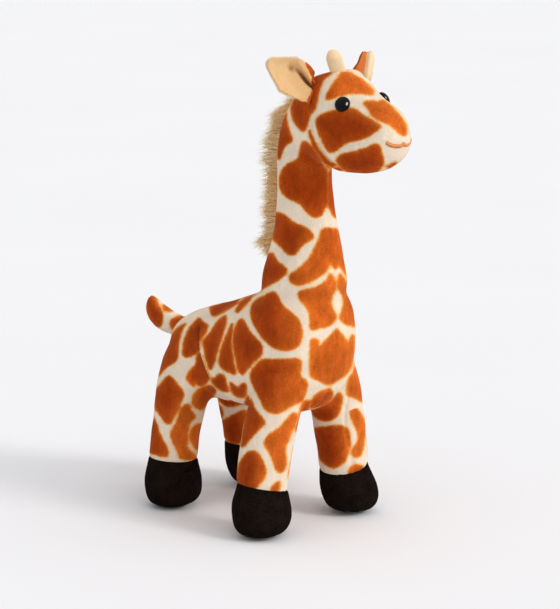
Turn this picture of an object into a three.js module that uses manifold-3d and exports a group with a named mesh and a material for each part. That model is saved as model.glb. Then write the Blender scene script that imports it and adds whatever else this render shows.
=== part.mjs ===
// A standing plush giraffe, about 380 mm tall, sewn from short-pile fabric and filled with fibre.
// Millimetres, +Z up. The head looks along -Y and the giraffe's right side is at -X.
// Each stuffed form is one solid that stands for its skin and the filling inside it. The smaller
// form is always cut back by the larger one, so neighbours meet along their real seam lines.

import * as THREE from 'three'
import { mergeVertices } from 'three/addons/utils/BufferGeometryUtils.js'
import Module from 'manifold-3d'

const wasm = await Module()
wasm.setup()

// Clearance that sewn neighbours keep, and the overrun of a cutting block past what it cuts.
const seam_gap = 0.3
const overrun = 40
// Points closer than this count as one point.
const weld_step = 1e-4

// Torso, carried along Y from the chest to the rump. The tall size is measured at the loins.
const torso_long = 179.6
const torso_wide = 93
const torso_tall = 80
const belly_high = 88
const chest_ahead = 32.6

// Stance: the hooves' centres on the floor, and the flat that each hoof rests on.
const front_leg_behind = 4.2
const rear_leg_to_rump = 31.5
const front_stance_wide = 100
const rear_stance_wide = 92
const sole_flat = 0.5

// Neck: its slimmest section, and its length from the torso's top line to the jaw.
const neck_wide = 43.5
const neck_deep = 45
const neck_long = 120
const neck_set_back = 3

// Head, from the back of the skull to the muzzle. Places on it are shares of its sizes,
// counted back from the muzzle and up from the jaw.
const head_long = 113
const head_wide = 56
const head_tall = 76.5
const muzzle_ahead = 103
const head_seam_back_share = 0.686
const jaw_seam_back_share = 0.566
const jaw_seam_high_share = 0.392

// Legs and hooves. A leg leans out by its splay, and the hoof seam tilts up on the outside.
const leg_wide = 39.5
const leg_long = 160
const leg_splay_share = 0.16
const leg_bow_shares = [0.6, 0.75]
const front_seam_tilt_share = 0.2
const rear_seam_tilt_share = 0.05
const hoof_high = 39.5
const hoof_wide = 49
const hoof_toe = 4.2

// Tail: a flattened, upturned form on a round root that sits in a dimple of the rump.
const tail_long = 48
const tail_wide = 16
const tail_tall = 23
const tail_rise = 19
const tail_root_radius = 10
const tail_root_high_share = 0.6

// Ears: a printed outer leaf and a plain lining, both cupped, on a rolled root.
const ear_long = 38.5
const ear_wide = 28.5
const ear_outer_thick = 2.2
const ear_lining_thick = 1.6
const ear_hem = 1.1
const ear_cup = 6
const ear_root_radius = 2.2
const ear_root_long = 20
const ear_rise_turn_share = 0.17
const ear_sweep_turn_share = 0.26
const ear_high_share = 0.791

// Horns: small flattened stuffed stubs on the crown, broad side to the front and outside. They
// are sewn on by hand, and the left one stands further out and leans more.
const horn_wide = 14.6
const horn_thick = 8
const horn_long = 32
const horn_shows = 18
const horn_right_aside = 9.5
const horn_left_aside = 16
const horn_right_back_share = 0.545
const horn_left_back_share = 0.5
const horn_right_lean_turn_share = 0.23
const horn_left_lean_turn_share = 0.32
const horn_sweep_turn_share = 0.48

// Mane: a long-pile strip sewn into the back seam of the neck.
const mane_pile = 25
const mane_wide = 13
const mane_tuft = 2.2
const mane_tufts = 13
const mane_low_high_share = 0.358
const mane_top_high_share = 0.719

// Safety eyes: a domed button on a ribbed shank, held by a washer behind the fabric.
const eye_wide = 12
const eye_dome = 4.8
const eye_sunk = 1.5
const eye_flange = 1
const eye_back_share = 0.385
const eye_high_share = 0.709
const shank_wide = 4
const shank_long = 11
const shank_rib = 0.25
const washer_wide = 13
const washer_thick = 1.8
const washer_depth = 3.4

// Mouth: two raised rows of embroidery that meet at the middle of the muzzle.
const mouth_wide = 25
const mouth_dip = 1.5
const stitch_thick = 1.6
const mouth_high_share = 0.353

// Colours of the printed plush, the lining, the hooves, the mane, the eyes and the thread.
const print_brown = 0xb5521e
const print_cream = 0xe8ddc8
const lining_tan = 0xf3d3a3
const hoof_black = 0x1c1614
const mane_tan = 0xd9b98a
const eye_black = 0x0a0a0a
const mouth_brown = 0xb8601f
const washer_white = 0xdedede

// Places that follow from the sizes.
const neck_base_high = belly_high + torso_tall
const head_high = neck_base_high + neck_long
const rump_behind = torso_long - chest_ahead
const rear_leg_behind = rump_behind - rear_leg_to_rump

/** Cubic curve through rows of numbers, each row starting with its place along the form. */
function through(rows, place) {
  const last = rows.length - 1
  let i = 0
  while (i < last - 1 && place > rows[i + 1][0]) i += 1
  const [a, b] = [rows[i], rows[i + 1]]
  const before = rows[Math.max(i - 1, 0)]
  const after = rows[Math.min(i + 2, last)]
  const span = b[0] - a[0]
  const s = Math.min(Math.max((place - a[0]) / span, 0), 1)
  return a.map((_, k) => {
    const slope_a = i === 0 ? (b[k] - a[k]) : (b[k] - before[k]) * span / (b[0] - before[0])
    const slope_b = i + 1 === last ? (b[k] - a[k]) : (after[k] - a[k]) * span / (after[0] - a[0])
    const [s2, s3] = [s * s, s * s * s]
    return a[k] * (2 * s3 - 3 * s2 + 1) + slope_a * (s3 - 2 * s2 + s)
      + b[k] * (3 * s2 - 2 * s3) + slope_b * (s3 - s2)
  })
}

/** Sine and cosine pulled towards a rounded box: fullness 2 is an ellipse, more is boxier. */
function rounded(angle, fullness) {
  const pull = (v) => Math.sign(v) * Math.abs(v) ** (2 / fullness)
  return [pull(Math.cos(angle)), pull(Math.sin(angle))]
}

/** A geometry of shared points, turned so that its faces point away from what it encloses. */
function facing_out(points, faces) {
  let volume = 0
  for (const [a, b, c] of faces) {
    volume += points[a].dot(new THREE.Vector3().crossVectors(points[b], points[c]))
  }
  const order = volume > 0 ? faces : faces.map(([a, b, c]) => [a, c, b])
  const geometry = new THREE.BufferGeometry().setFromPoints(points)
  geometry.setIndex(order.flat())
  return geometry
}

/** A closed skin: rings of points between a first and a last single point. */
function skin(first, rings, last) {
  const sides = rings[0].length
  const points = [first, ...rings.flat(), last]
  const at = (r, s) => 1 + r * sides + (s % sides)
  const faces = []
  for (let s = 0; s < sides; s += 1) {
    faces.push([0, at(0, s + 1), at(0, s)])
    for (let r = 0; r < rings.length - 1; r += 1) {
      faces.push([at(r, s), at(r, s + 1), at(r + 1, s + 1)])
      faces.push([at(r, s), at(r + 1, s + 1), at(r + 1, s)])
    }
    faces.push([at(rings.length - 1, s), at(rings.length - 1, s + 1), points.length - 1])
  }
  return facing_out(points, faces)
}

/** Rows of a form with their half sizes squared, so that its ends close in rounds. */
function with_squares(rows) {
  return rows.map(([place, y, z, wide, deep, lean]) => [place, y, z, wide ** 2, deep ** 2, lean])
}

/**
 * A stuffed form. Each row is [place 0..1, y, z, half width, half depth, lean]: the half width
 * lies along X, and the half depth leans from Y (0) to Z (1 quarter turn). Rings crowd towards
 * the ends.
 */
function stuffed(rows, ring_count, sides, fullness = 2) {
  const squared = with_squares(rows)
  const ring = (place) => {
    const [, y, z, wide2, deep2, lean] = through(squared, place)
    const [wide, deep] = [Math.sqrt(Math.max(wide2, 0)), Math.sqrt(Math.max(deep2, 0))]
    const turn = lean * Math.PI / 2
    return Array.from({ length: sides }, (_, s) => {
      const [c, n] = rounded(2 * Math.PI * (s + 0.5) / sides, fullness)
      return new THREE.Vector3(wide * c, y + deep * n * Math.cos(turn), z + deep * n * Math.sin(turn))
    })
  }
  const place = (r) => (1 - Math.cos(Math.PI * (r + 1) / (ring_count + 1))) / 2
  const rings = Array.from({ length: ring_count }, (_, r) => ring(place(r)))
  const end = (row) => new THREE.Vector3(0, row[1], row[2])
  return skin(end(rows[0]), rings, end(rows[rows.length - 1]))
}

/** The same skin moved out along its own normals. */
function grown(geometry, by) {
  const copy = geometry.clone()
  copy.computeVertexNormals()
  const [place, normal] = [copy.attributes.position, copy.attributes.normal]
  for (let i = 0; i < place.count; i += 1) {
    place.setXYZ(i, place.getX(i) + by * normal.getX(i), place.getY(i) + by * normal.getY(i),
      place.getZ(i) + by * normal.getZ(i))
  }
  copy.deleteAttribute('normal')
  return copy
}

/** A closed geometry as a solid that can be joined and cut. */
function solid(geometry) {
  const bare = geometry.clone()
  bare.deleteAttribute('normal')
  bare.deleteAttribute('uv')
  const merged = mergeVertices(bare, weld_step)
  const place = merged.attributes.position
  const points = Array.from({ length: place.count }, (_, i) => (
    new THREE.Vector3().fromBufferAttribute(place, i)))
  const corners = Array.from(merged.index.array)
  const faces = Array.from({ length: corners.length / 3 }, (_, i) => corners.slice(3 * i, 3 * i + 3))
  const outward = facing_out(points, faces)
  return new wasm.Manifold(new wasm.Mesh({
    numProp: 3,
    vertProperties: new Float32Array(outward.attributes.position.array),
    triVerts: new Uint32Array(outward.index.array),
  }))
}

/** A solid back as a geometry for a mesh. */
function geometry_of(manifold) {
  const mesh = manifold.getMesh()
  const geometry = new THREE.BufferGeometry()
  const places = new Float32Array(mesh.numVert * 3)
  for (let i = 0; i < mesh.numVert; i += 1) {
    for (let k = 0; k < 3; k += 1) {
      places[3 * i + k] = mesh.vertProperties[i * mesh.numProp + k]
    }
  }
  geometry.setAttribute('position', new THREE.BufferAttribute(places, 3))
  geometry.setIndex(Array.from(mesh.triVerts))
  return geometry
}

/** The mirror image of a geometry across the middle of the giraffe. */
function mirrored(geometry) {
  const copy = geometry.clone()
  copy.scale(-1, 1, 1)
  const index = Array.from(copy.index.array)
  for (let i = 0; i < index.length; i += 3) {
    [index[i + 1], index[i + 2]] = [index[i + 2], index[i + 1]]
  }
  copy.setIndex(index)
  return copy
}

// Torso: rows of [place, low, high, width] as shares of its length, its height and its width.
const torso_shares = [
  [0, 0.8, 0.8, 0],
  [0.05, 0.28, 1.32, 0.66],
  [0.17, 0.04, 1.4, 0.97],
  [0.36, 0, 1.27, 1],
  [0.55, -0.02, 1.08, 0.98],
  [0.74, 0, 0.95, 0.92],
  [0.88, 0.08, 0.84, 0.78],
  [1, 0.5, 0.5, 0],
]
const torso_fullness = 2.3
const torso_rows = torso_shares.map(([place, low, high, wide]) => [
  place,
  place * torso_long - chest_ahead,
  belly_high + torso_tall * (low + high) / 2,
  torso_wide * wide / 2,
  torso_tall * (high - low) / 2,
  1,
])
const torso_form = stuffed(torso_rows, 20, 22, torso_fullness)

// Neck: rows of [height, height inside the head, set back, width, depth] as shares of the
// neck's length, the head's height, and the neck's depth, width and depth.
const neck_shares = [
  [0, 0, 0.2, 0, 0],
  [0.09, 0, 0.06, 1.4, 1.3],
  [0.215, 0, 0.01, 1.58, 1.52],
  [0.337, 0, 0, 1.42, 1.5],
  [0.475, 0, -0.03, 1.2, 1.34],
  [0.644, 0, -0.03, 1.04, 1.16],
  [0.843, 0, 0.01, 1, 1.01],
  [1, 0.115, 0.02, 1, 1],
  [1, 0.404, -0.1, 1, 0.98],
  [1, 0.668, -0.3, 0.94, 0.9],
  [1, 0.837, -0.4, 0, 0],
]
const neck_heights = neck_shares.map(([up, into_head]) => neck_long * up + head_tall * into_head)
const neck_form_long = neck_heights[neck_heights.length - 1]
const neck_rows = neck_shares.map(([, , back, wide, deep], i) => [
  neck_heights[i] / neck_form_long,
  neck_set_back + neck_deep * back,
  neck_base_high + neck_heights[i],
  neck_wide * wide / 2,
  neck_deep * deep / 2,
  0,
])
const neck_form = stuffed(neck_rows, 22, 20)

/** The back of the neck at a height. */
function neck_back(high) {
  const [, y, , , deep2] = through(with_squares(neck_rows), (high - neck_base_high) / neck_form_long)
  return y + Math.sqrt(deep2)
}

// Head: rows of [place, low, high, width] as shares of its length, its height and its width.
const head_shares = [
  [0, 0.55, 0.55, 0],
  [0.13, 0.12, 0.88, 0.8],
  [0.31, 0.04, 0.98, 0.98],
  [0.47, 0, 1.01, 1],
  [0.6, 0, 0.88, 0.93],
  [0.71, 0.02, 0.8, 0.84],
  [0.82, 0.07, 0.74, 0.75],
  [0.92, 0.16, 0.65, 0.6],
  [1, 0.38, 0.38, 0],
]
const head_fullness = 2.4
const head_rows = head_shares.map(([place, low, high, wide]) => [
  place,
  head_long * (1 - place) - muzzle_ahead,
  head_high + head_tall * (low + high) / 2,
  head_wide * wide / 2,
  head_tall * (high - low) / 2,
  1,
])
const head_form = stuffed(head_rows, 18, 22, head_fullness)

/** How far ahead of the front hooves' line a share of the head's length behind the muzzle is. */
function ahead_at(back_share) {
  return muzzle_ahead - head_long * back_share
}

/** The point of the head's right side at a place ahead of the front hooves and a height. */
function head_side(ahead, high) {
  const place = (head_long - muzzle_ahead + ahead) / head_long
  const [, , middle, wide2, deep2] = through(with_squares(head_rows), place)
  const share = Math.min(Math.abs(high - middle) / Math.sqrt(Math.max(deep2, weld_step ** 2)), 1)
  const x = -Math.sqrt(Math.max(wide2, 0)) * (1 - share ** head_fullness) ** (1 / head_fullness)
  return new THREE.Vector3(x, -ahead, high)
}

/** The point of the muzzle's front at a place to the right of the middle and a height. */
function muzzle_front(aside, high) {
  let [near, far] = [ahead_at(0.5), muzzle_ahead]
  for (let i = 0; i < 40; i += 1) {
    const middle = (near + far) / 2
    if (-head_side(middle, high).x > aside) near = middle
    else far = middle
  }
  return new THREE.Vector3(-aside, -near, high)
}

/** The direction square to a surface, from three of its points, turned away from the head. */
function away_from_head(point, along, up) {
  const inside = new THREE.Vector3(0, -ahead_at(0.5), head_high + head_tall / 2)
  const normal = new THREE.Vector3()
    .crossVectors(along.clone().sub(point), up.clone().sub(point))
    .normalize()
  return normal.dot(point.clone().sub(inside)) > 0 ? normal : normal.negate()
}

/** The outline, in Y and Z, of all that lies ahead of the head seam, moved back by a shift. */
function seam_outline(shift) {
  const seam_y = -ahead_at(head_seam_back_share) + shift
  const jaw_y = -ahead_at(jaw_seam_back_share) + shift
  const jaw_turn_high = head_high + jaw_seam_high_share * head_tall
  const top = head_high + head_tall + overrun
  const shape = new THREE.Shape()
  shape.moveTo(seam_y, top)
  shape.lineTo(seam_y, jaw_turn_high)
  shape.quadraticCurveTo(seam_y, (head_high + jaw_turn_high) / 2, jaw_y, head_high)
  shape.lineTo(-muzzle_ahead - overrun, head_high - overrun)
  shape.lineTo(-muzzle_ahead - overrun, top)
  return shape
}

/** The space ahead of the seam that runs down the skull's sides, then forward under the jaw. */
function face_space(shift) {
  const wide = head_wide + 2 * overrun
  const slab = new THREE.ExtrudeGeometry(seam_outline(shift), {
    depth: wide, bevelEnabled: false, curveSegments: 4,
  })
  slab.applyMatrix4(new THREE.Matrix4().makeBasis(
    new THREE.Vector3(0, 1, 0), new THREE.Vector3(0, 0, 1), new THREE.Vector3(1, 0, 0)))
  slab.translate(-wide / 2, 0, 0)
  return solid(slab)
}

// Legs: rows of [height, set back, width, depth] as shares of a leg's length and width.
const front_leg_shares = [
  [0.1, 0, 0, 0],
  [0.2, 0, 1.04, 1.04],
  [0.25, 0, 1.06, 1.06],
  [0.38, 0, 1.09, 1.09],
  [0.53, -0.02, 1.1, 1.14],
  [0.68, -0.06, 1.02, 1.18],
  [0.82, -0.08, 0.9, 1.13],
  [0.94, -0.08, 0.62, 0.88],
  [1, -0.08, 0, 0],
]
const rear_leg_shares = [
  [0.1, 0, 0, 0],
  [0.2, 0, 1.05, 1.05],
  [0.25, 0, 1.05, 1.05],
  [0.38, 0, 1.06, 1.06],
  [0.53, -0.02, 1.1, 1.2],
  [0.66, -0.12, 1.15, 1.48],
  [0.8, -0.26, 1.12, 1.58],
  [0.92, -0.34, 0.84, 1.35],
  [1, -0.36, 0, 0],
]
// Hooves: rows of [height, set back, swell, size]. Height is a share of the hoof's height and
// set back one of its toe. The swell leads from the leg's width to the hoof's.
const hoof_shares = [
  [0, -0.6, 1, 0],
  [0.05, -0.8, 1, 0.62],
  [0.2, -1, 1, 0.9],
  [0.5, -0.8, 1, 1],
  [0.8, -0.2, 0.54, 1],
  [1, 0, 0, 1],
  [1.3, 0, 0, 0],
]

/** How far inwards a right leg leans at a height, a little more the higher it goes. */
function leg_lean(high) {
  return leg_splay_share * high * (leg_bow_shares[0] + leg_bow_shares[1] * high / leg_long)
}

/** A right leg or hoof from rows of [height, set back, width, depth], leaning with its height. */
function limb_form(rows, ring_count, sides) {
  const first = rows[0][0]
  const span = rows[rows.length - 1][0] - first
  const form = stuffed(rows.map(([high, back, wide, deep]) => (
    [(high - first) / span, back, high, wide / 2, deep / 2, 0])), ring_count, sides)
  const place = form.attributes.position
  for (let i = 0; i < place.count; i += 1) {
    place.setX(i, place.getX(i) + leg_lean(place.getZ(i)))
  }
  return form
}

/** The space above a right hoof's seam, which is higher on the outside, raised by a shift. */
function above_seam(tilt_share, shift) {
  const wide = hoof_wide + 2 * overrun
  const box = new THREE.BoxGeometry(wide, wide, leg_long + overrun)
  box.translate(0, 0, (leg_long + overrun) / 2 + shift)
  box.rotateY(Math.atan(tilt_share))
  box.translate(leg_lean(hoof_high), 0, hoof_high)
  return solid(box)
}

/** The space above the floor, as wide as a hoof can be. */
function above_floor() {
  const wide = hoof_wide + 2 * overrun
  return solid(new THREE.BoxGeometry(wide, wide, leg_long).translate(0, 0, leg_long / 2))
}

/** The space of the giraffe's right side, up to the middle seam. */
function right_side() {
  const [wide, long, tall] = [torso_wide + overrun, 2 * torso_long, 2 * leg_long]
  return solid(new THREE.BoxGeometry(wide, long, tall).translate(-(wide + seam_gap) / 2, 0, 0))
}

/** The largest of the pieces that a cut leaves, so that no thin scrap stays beside it. */
function main_piece(cut) {
  return cut.decompose().reduce((a, b) => (a.volume() > b.volume() ? a : b))
}

/** The right leg of a pair and its hoof, before the torso cuts the leg. */
function leg_and_hoof(leg_shares, stance_wide, behind, tilt_share) {
  const stand = (form) => form.translate(-stance_wide / 2, behind, 0)
  const leg_rows = leg_shares.map(([up, back, wide, deep]) => (
    [leg_long * up, leg_wide * back, leg_wide * wide, leg_wide * deep]))
  const hoof_rows = hoof_shares.map(([up, back, swell, size]) => {
    const wide = size * (leg_wide + swell * (hoof_wide - leg_wide))
    return [(hoof_high + sole_flat) * up - sole_flat, hoof_toe * back, wide, wide]
  })
  const leg = solid(limb_form(leg_rows, 16, 16)).intersect(above_seam(tilt_share, seam_gap / 2))
  const hoof = solid(limb_form(hoof_rows, 13, 18))
    .subtract(above_seam(tilt_share, -seam_gap / 2))
    .intersect(above_floor())
  return [stand(geometry_of(leg)), stand(geometry_of(hoof))]
}

// Tail: rows of [place, behind, rise, width, height, lean] as shares of its own sizes.
const tail_shares = [
  [0, -0.12, 0, 0, 0, 1],
  [0.14, 0.05, 0, 0.85, 0.8, 1],
  [0.4, 0.36, 0.06, 0.98, 0.96, 1.05],
  [0.68, 0.66, 0.25, 1, 1, 1.25],
  [0.88, 0.86, 0.6, 0.85, 0.8, 1.45],
  [1, 0.93, 1.06, 0, 0, 1.6],
]
const tail_pivot = new THREE.Vector3(0, rump_behind, belly_high + tail_root_high_share * torso_tall)
const tail_rows = tail_shares.map(([place, behind, rise, wide, tall, lean]) => [
  place,
  tail_pivot.y + tail_long * behind,
  tail_pivot.z + tail_rise * rise,
  tail_wide * wide / 2,
  tail_tall * tall / 2,
  lean,
])

/** A ball about the tail's pivot: its root, or the dimple that the root sits in. */
function tail_ball(radius) {
  const ball = new THREE.SphereGeometry(radius, 16, 10).rotateZ(Math.PI / 2)
  return solid(ball.translate(...tail_pivot.toArray()))
}

// Ear: the root rolls on a line that touches the head's side along its seam.
const ear_ahead = ahead_at(head_seam_back_share)
const ear_high = head_high + ear_high_share * head_tall
const ear_low_end = head_side(ear_ahead, ear_high - ear_root_long / 2)
const ear_top_end = head_side(ear_ahead, ear_high + ear_root_long / 2)
const ear_seat = head_side(ear_ahead, ear_high)
const ear_axis = ear_top_end.clone().sub(ear_low_end).normalize()
const ear_out = away_from_head(ear_seat, ear_top_end, head_side(ear_ahead + ear_root_radius, ear_high))
const ear_pivot = ear_seat.clone().addScaledVector(ear_out, ear_root_radius + seam_gap)
const ear_sweep = ear_sweep_turn_share * Math.PI / 2
const ear_rise = ear_rise_turn_share * Math.PI / 2
const ear_length_way = new THREE.Vector3(-Math.cos(ear_sweep), Math.sin(ear_sweep), 0)
  .projectOnPlane(ear_axis)
  .normalize()
const ear_face_way = new THREE.Vector3().crossVectors(ear_axis, ear_length_way).normalize()

// Ear outline: rows of [place along the ear, half width] as shares, round at the tip. Over the
// first shares of its length the ear turns upwards and opens its cup.
const ear_shares = [
  [0, 0.72],
  [0.12, 0.88],
  [0.32, 1],
  [0.55, 0.98],
  [0.75, 0.8],
  [0.9, 0.52],
  [1, 0],
]
const ear_root_share = 0.02
const ear_turned_share = 0.5
const ear_opened_share = 0.25

/** A point of the cupped ear at a place along it and across it (-1..1), inside a hem. */
function ear_point(place, across, off_face, hem) {
  const squared = ear_shares.map(([p, wide]) => [p, wide ** 2])
  const half = ear_wide / 2 * Math.sqrt(Math.max(through(squared, place)[1], 0))
  const tilt = ear_rise * Math.min(place / ear_turned_share, 1)
  const opened = Math.min(place / ear_opened_share, 1)
  const aside = across * Math.max(half - hem, 0)
  const cup = ear_cup * opened * (2 * aside / ear_wide) ** 2
  const along = (ear_long - hem) * place
  return ear_pivot.clone()
    .addScaledVector(ear_length_way, along * Math.cos(ear_rise) - aside * Math.sin(tilt))
    .addScaledVector(ear_axis, along * Math.sin(ear_rise) + aside * Math.cos(tilt))
    .addScaledVector(ear_face_way, cup + off_face)
}

/** A cupped leaf between two offsets from the ear's middle surface, inside a hem. */
function ear_leaf(back, front, hem) {
  const [steps, spans] = [10, 6]
  const place = (i) => ear_root_share + (1 - ear_root_share) * Math.sin(Math.PI / 2 * i / steps)
  const side = (i, off_face) => Array.from({ length: spans + 1 }, (_, j) => (
    ear_point(place(i), 2 * j / spans - 1, off_face, hem)))
  const rings = Array.from({ length: steps }, (_, i) => [...side(i, back), ...side(i, front).reverse()])
  const end = (at) => ear_point(at, 0, (back + front) / 2, hem)
  return solid(skin(end(ear_root_share), rings, end(1)))
}

/** A round bar with domed ends along the ear's root. */
function ear_roll(radius) {
  const bar = new THREE.CapsuleGeometry(radius, ear_root_long - 2 * radius, 4, 10)
  const along = new THREE.Quaternion().setFromUnitVectors(new THREE.Vector3(0, 1, 0), ear_axis)
  return solid(bar.applyQuaternion(along).translate(...ear_pivot.toArray()))
}

// Horn: rows of [height, width, thickness] as shares, with a round top and a sunk root.
const horn_shares = [
  [0, 0, 0],
  [0.15, 1.02, 1.1],
  [0.5, 1, 1.05],
  [0.82, 0.98, 1],
  [1, 0, 0],
]
const horn_rows = horn_shares.map(([up, wide, thick]) => [
  up, 0, horn_long * (up - 1 / 2), horn_wide * wide / 2, horn_thick * thick / 2, 0,
])

/** A horn of the right (-1) or left (1) side, leaning out and turned about its own middle. */
function horn_form(side, aside, back_share, lean_share) {
  const horn_top_high = head_high + head_tall + horn_shows
  return stuffed(horn_rows, 13, 16)
    .rotateY(side * lean_share * Math.PI / 2)
    .rotateZ(side * horn_sweep_turn_share * Math.PI / 2)
    .translate(side * aside, -ahead_at(back_share), horn_top_high - horn_long / 2)
}

// Mane: a ridge on the neck's back seam whose pile is gathered into tufts. It swells from
// nothing over the first and last shares of its length.
const mane_first_share = 0.083
const mane_last_share = 0.2
const mane_low_high = neck_base_high + mane_low_high_share * neck_long
const mane_top_high = head_high + mane_top_high_share * head_tall
const mane_row_count = 3 * mane_tufts
const mane_rows = Array.from({ length: mane_row_count + 1 }, (_, i) => {
  const place = i / mane_row_count
  const high = mane_low_high + (mane_top_high - mane_low_high) * place
  const swell = Math.min(1, Math.sqrt(place / mane_first_share), Math.sqrt((1 - place) / mane_last_share))
  const tuft = mane_tuft * Math.abs(Math.sin(Math.PI * mane_tufts * place))
  const reach = (mane_pile + tuft) * swell
  const middle = neck_back(high) + reach / 2 - mane_wide / 4
  return [place, middle, high, mane_wide / 2 * swell, (reach + mane_wide / 2) / 2, 0]
})

/** Rings through every row of a form, in order, with no crowding at the ends. */
function ridge(rows, sides) {
  const rings = rows.slice(1, -1).map(([, y, z, wide, deep]) => (
    Array.from({ length: sides }, (_, s) => {
      const [c, n] = rounded(2 * Math.PI * (s + 0.5) / sides, 2)
      return new THREE.Vector3(wide * c, y + deep * n, z)
    })))
  const end = (row) => new THREE.Vector3(0, row[1], row[2])
  return skin(end(rows[0]), rings, end(rows[rows.length - 1]))
}

// Eye: heights are counted outwards from the head's surface along the eye's own axis.
const eye_ahead = ahead_at(eye_back_share)
const eye_high = head_high + eye_high_share * head_tall
const eye_seat = head_side(eye_ahead, eye_high)
const eye_way = away_from_head(eye_seat, head_side(eye_ahead + shank_wide, eye_high),
  head_side(eye_ahead, eye_high + shank_wide))
const flange_low = -eye_sunk - eye_flange
const washer_top = flange_low - washer_depth
const washer_low = washer_top - washer_thick
const eye_sides = 14

/** A profile of [radius, height] spun about the eye's axis. */
function eye_turned(profile) {
  const points = profile.map(([radius, height]) => new THREE.Vector2(radius, height))
  const way = new THREE.Quaternion().setFromUnitVectors(new THREE.Vector3(0, 1, 0), eye_way)
  const lathe = new THREE.LatheGeometry(points, eye_sides).applyQuaternion(way)
  return solid(lathe.translate(...eye_seat.toArray()))
}

/** The dome's profile from its top to its rim, widened by a clearance. */
function dome_profile(clear) {
  return Array.from({ length: 7 }, (_, i) => {
    const turn = Math.PI / 2 * (1 - i / 6)
    const radius = i === 0 ? 0 : (eye_wide / 2 + clear) * Math.cos(turn)
    return [radius, (eye_dome + clear) * Math.sin(turn) - eye_sunk]
  })
}

/** The button: dome, flange, and a shank whose ribs hold the washer. */
function eye_button() {
  const rib_count = 6
  const ribs = Array.from({ length: rib_count }, (_, i) => [
    shank_wide / 2 + (i % 2) * shank_rib, washer_low - seam_gap - 2 * shank_rib * i,
  ])
  return eye_turned([
    ...dome_profile(0), [eye_wide / 2, flange_low], [shank_wide / 2, flange_low],
    ...ribs, [shank_wide / 2, -shank_long], [0, -shank_long],
  ])
}

/** The room that the button and its washer take up in the head, with clearance. */
function eye_room() {
  const neck_radius = shank_wide / 2 + shank_rib + seam_gap
  const washer_radius = washer_wide / 2 + seam_gap
  return eye_turned([
    ...dome_profile(seam_gap), [eye_wide / 2 + seam_gap, flange_low - seam_gap],
    [neck_radius, flange_low - seam_gap], [neck_radius, washer_top + seam_gap],
    [washer_radius, washer_top + seam_gap], [washer_radius, washer_low - seam_gap],
    [neck_radius, washer_low - seam_gap], [neck_radius, -shank_long - seam_gap],
    [0, -shank_long - seam_gap],
  ])
}

/** The washer that clips on the shank. */
function eye_washer() {
  const bore_radius = shank_wide / 2 + seam_gap / 2
  return eye_turned([
    [bore_radius, washer_top], [washer_wide / 2, washer_top], [washer_wide / 2, washer_low],
    [bore_radius, washer_low], [bore_radius, washer_top],
  ])
}

/** A row of stitches that follows the right of the muzzle and dips towards its middle. */
function mouth_row() {
  const mouth_high = head_high + mouth_high_share * head_tall
  const radius = stitch_thick / 2
  const step = stitch_thick / 4
  const path = Array.from({ length: 9 }, (_, i) => {
    const aside = radius + (mouth_wide / 2 - radius) * i / 8
    const high = mouth_high + mouth_dip * (2 * aside / mouth_wide) ** 2
    const at = muzzle_front(aside, high)
    const out = away_from_head(at, muzzle_front(aside + step, high), muzzle_front(aside, high + step))
    return at.addScaledVector(out, radius + seam_gap)
  })
  return new THREE.ExtrudeGeometry(new THREE.Shape().absellipse(0, 0, radius, radius, 0, 2 * Math.PI), {
    steps: 10, curveSegments: 4, bevelEnabled: false, extrudePath: new THREE.CatmullRomCurve3(path),
  })
}

// Every form cut back by its larger neighbour.
const torso_cut = solid(grown(torso_form, seam_gap))
const head_cut = solid(grown(head_form, seam_gap))
const neck_cut = solid(grown(neck_form, seam_gap))
const skull = solid(head_form)
const eye_room_right = eye_room()
const eye_rooms = eye_room_right.add(solid(mirrored(geometry_of(eye_room_right))))
const body = solid(torso_form).subtract(tail_ball(tail_root_radius + seam_gap))
const neck = solid(neck_form).add(skull).subtract(face_space(seam_gap / 2)).subtract(torso_cut)
const head = skull.intersect(face_space(-seam_gap / 2)).subtract(eye_rooms)
const tail = tail_ball(tail_root_radius).add(solid(stuffed(tail_rows, 12, 14)))
const mane = solid(ridge(mane_rows, 8)).subtract(neck_cut).subtract(head_cut)
const horn_right = solid(horn_form(
  -1, horn_right_aside, horn_right_back_share, horn_right_lean_turn_share)).subtract(head_cut)
const horn_left = solid(horn_form(
  1, horn_left_aside, horn_left_back_share, horn_left_lean_turn_share)).subtract(head_cut)
const ear_outer = ear_leaf(-ear_outer_thick, 0, 0).add(ear_roll(ear_root_radius))
const ear_lining = ear_leaf(0, seam_gap + ear_lining_thick, ear_hem)
  .subtract(ear_leaf(-ear_outer_thick, seam_gap, 0))
  .subtract(ear_roll(ear_root_radius + seam_gap))
const [front_leg, front_hoof] = leg_and_hoof(
  front_leg_shares, front_stance_wide, front_leg_behind, front_seam_tilt_share)
const [rear_leg, rear_hoof] = leg_and_hoof(
  rear_leg_shares, rear_stance_wide, rear_leg_behind, rear_seam_tilt_share)

/** A leg of the right side as it is sewn to the torso. */
function sewn_leg(leg) {
  return geometry_of(main_piece(solid(leg).subtract(torso_cut).intersect(right_side())))
}

const giraffe = new THREE.Group()

/** Adds a named piece with its own material. */
function add_piece(name, geometry, color, roughness = 0.95) {
  const mesh = new THREE.Mesh(geometry, new THREE.MeshStandardMaterial({ color, roughness, metalness: 0 }))
  mesh.name = name
  giraffe.add(mesh)
}

/** Adds a piece of the right side and its mirror image on the left. */
function add_pair(name, geometry, color, roughness) {
  add_piece(`${name}_right`, geometry, color, roughness)
  add_piece(`${name}_left`, mirrored(geometry), color, roughness)
}

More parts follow.
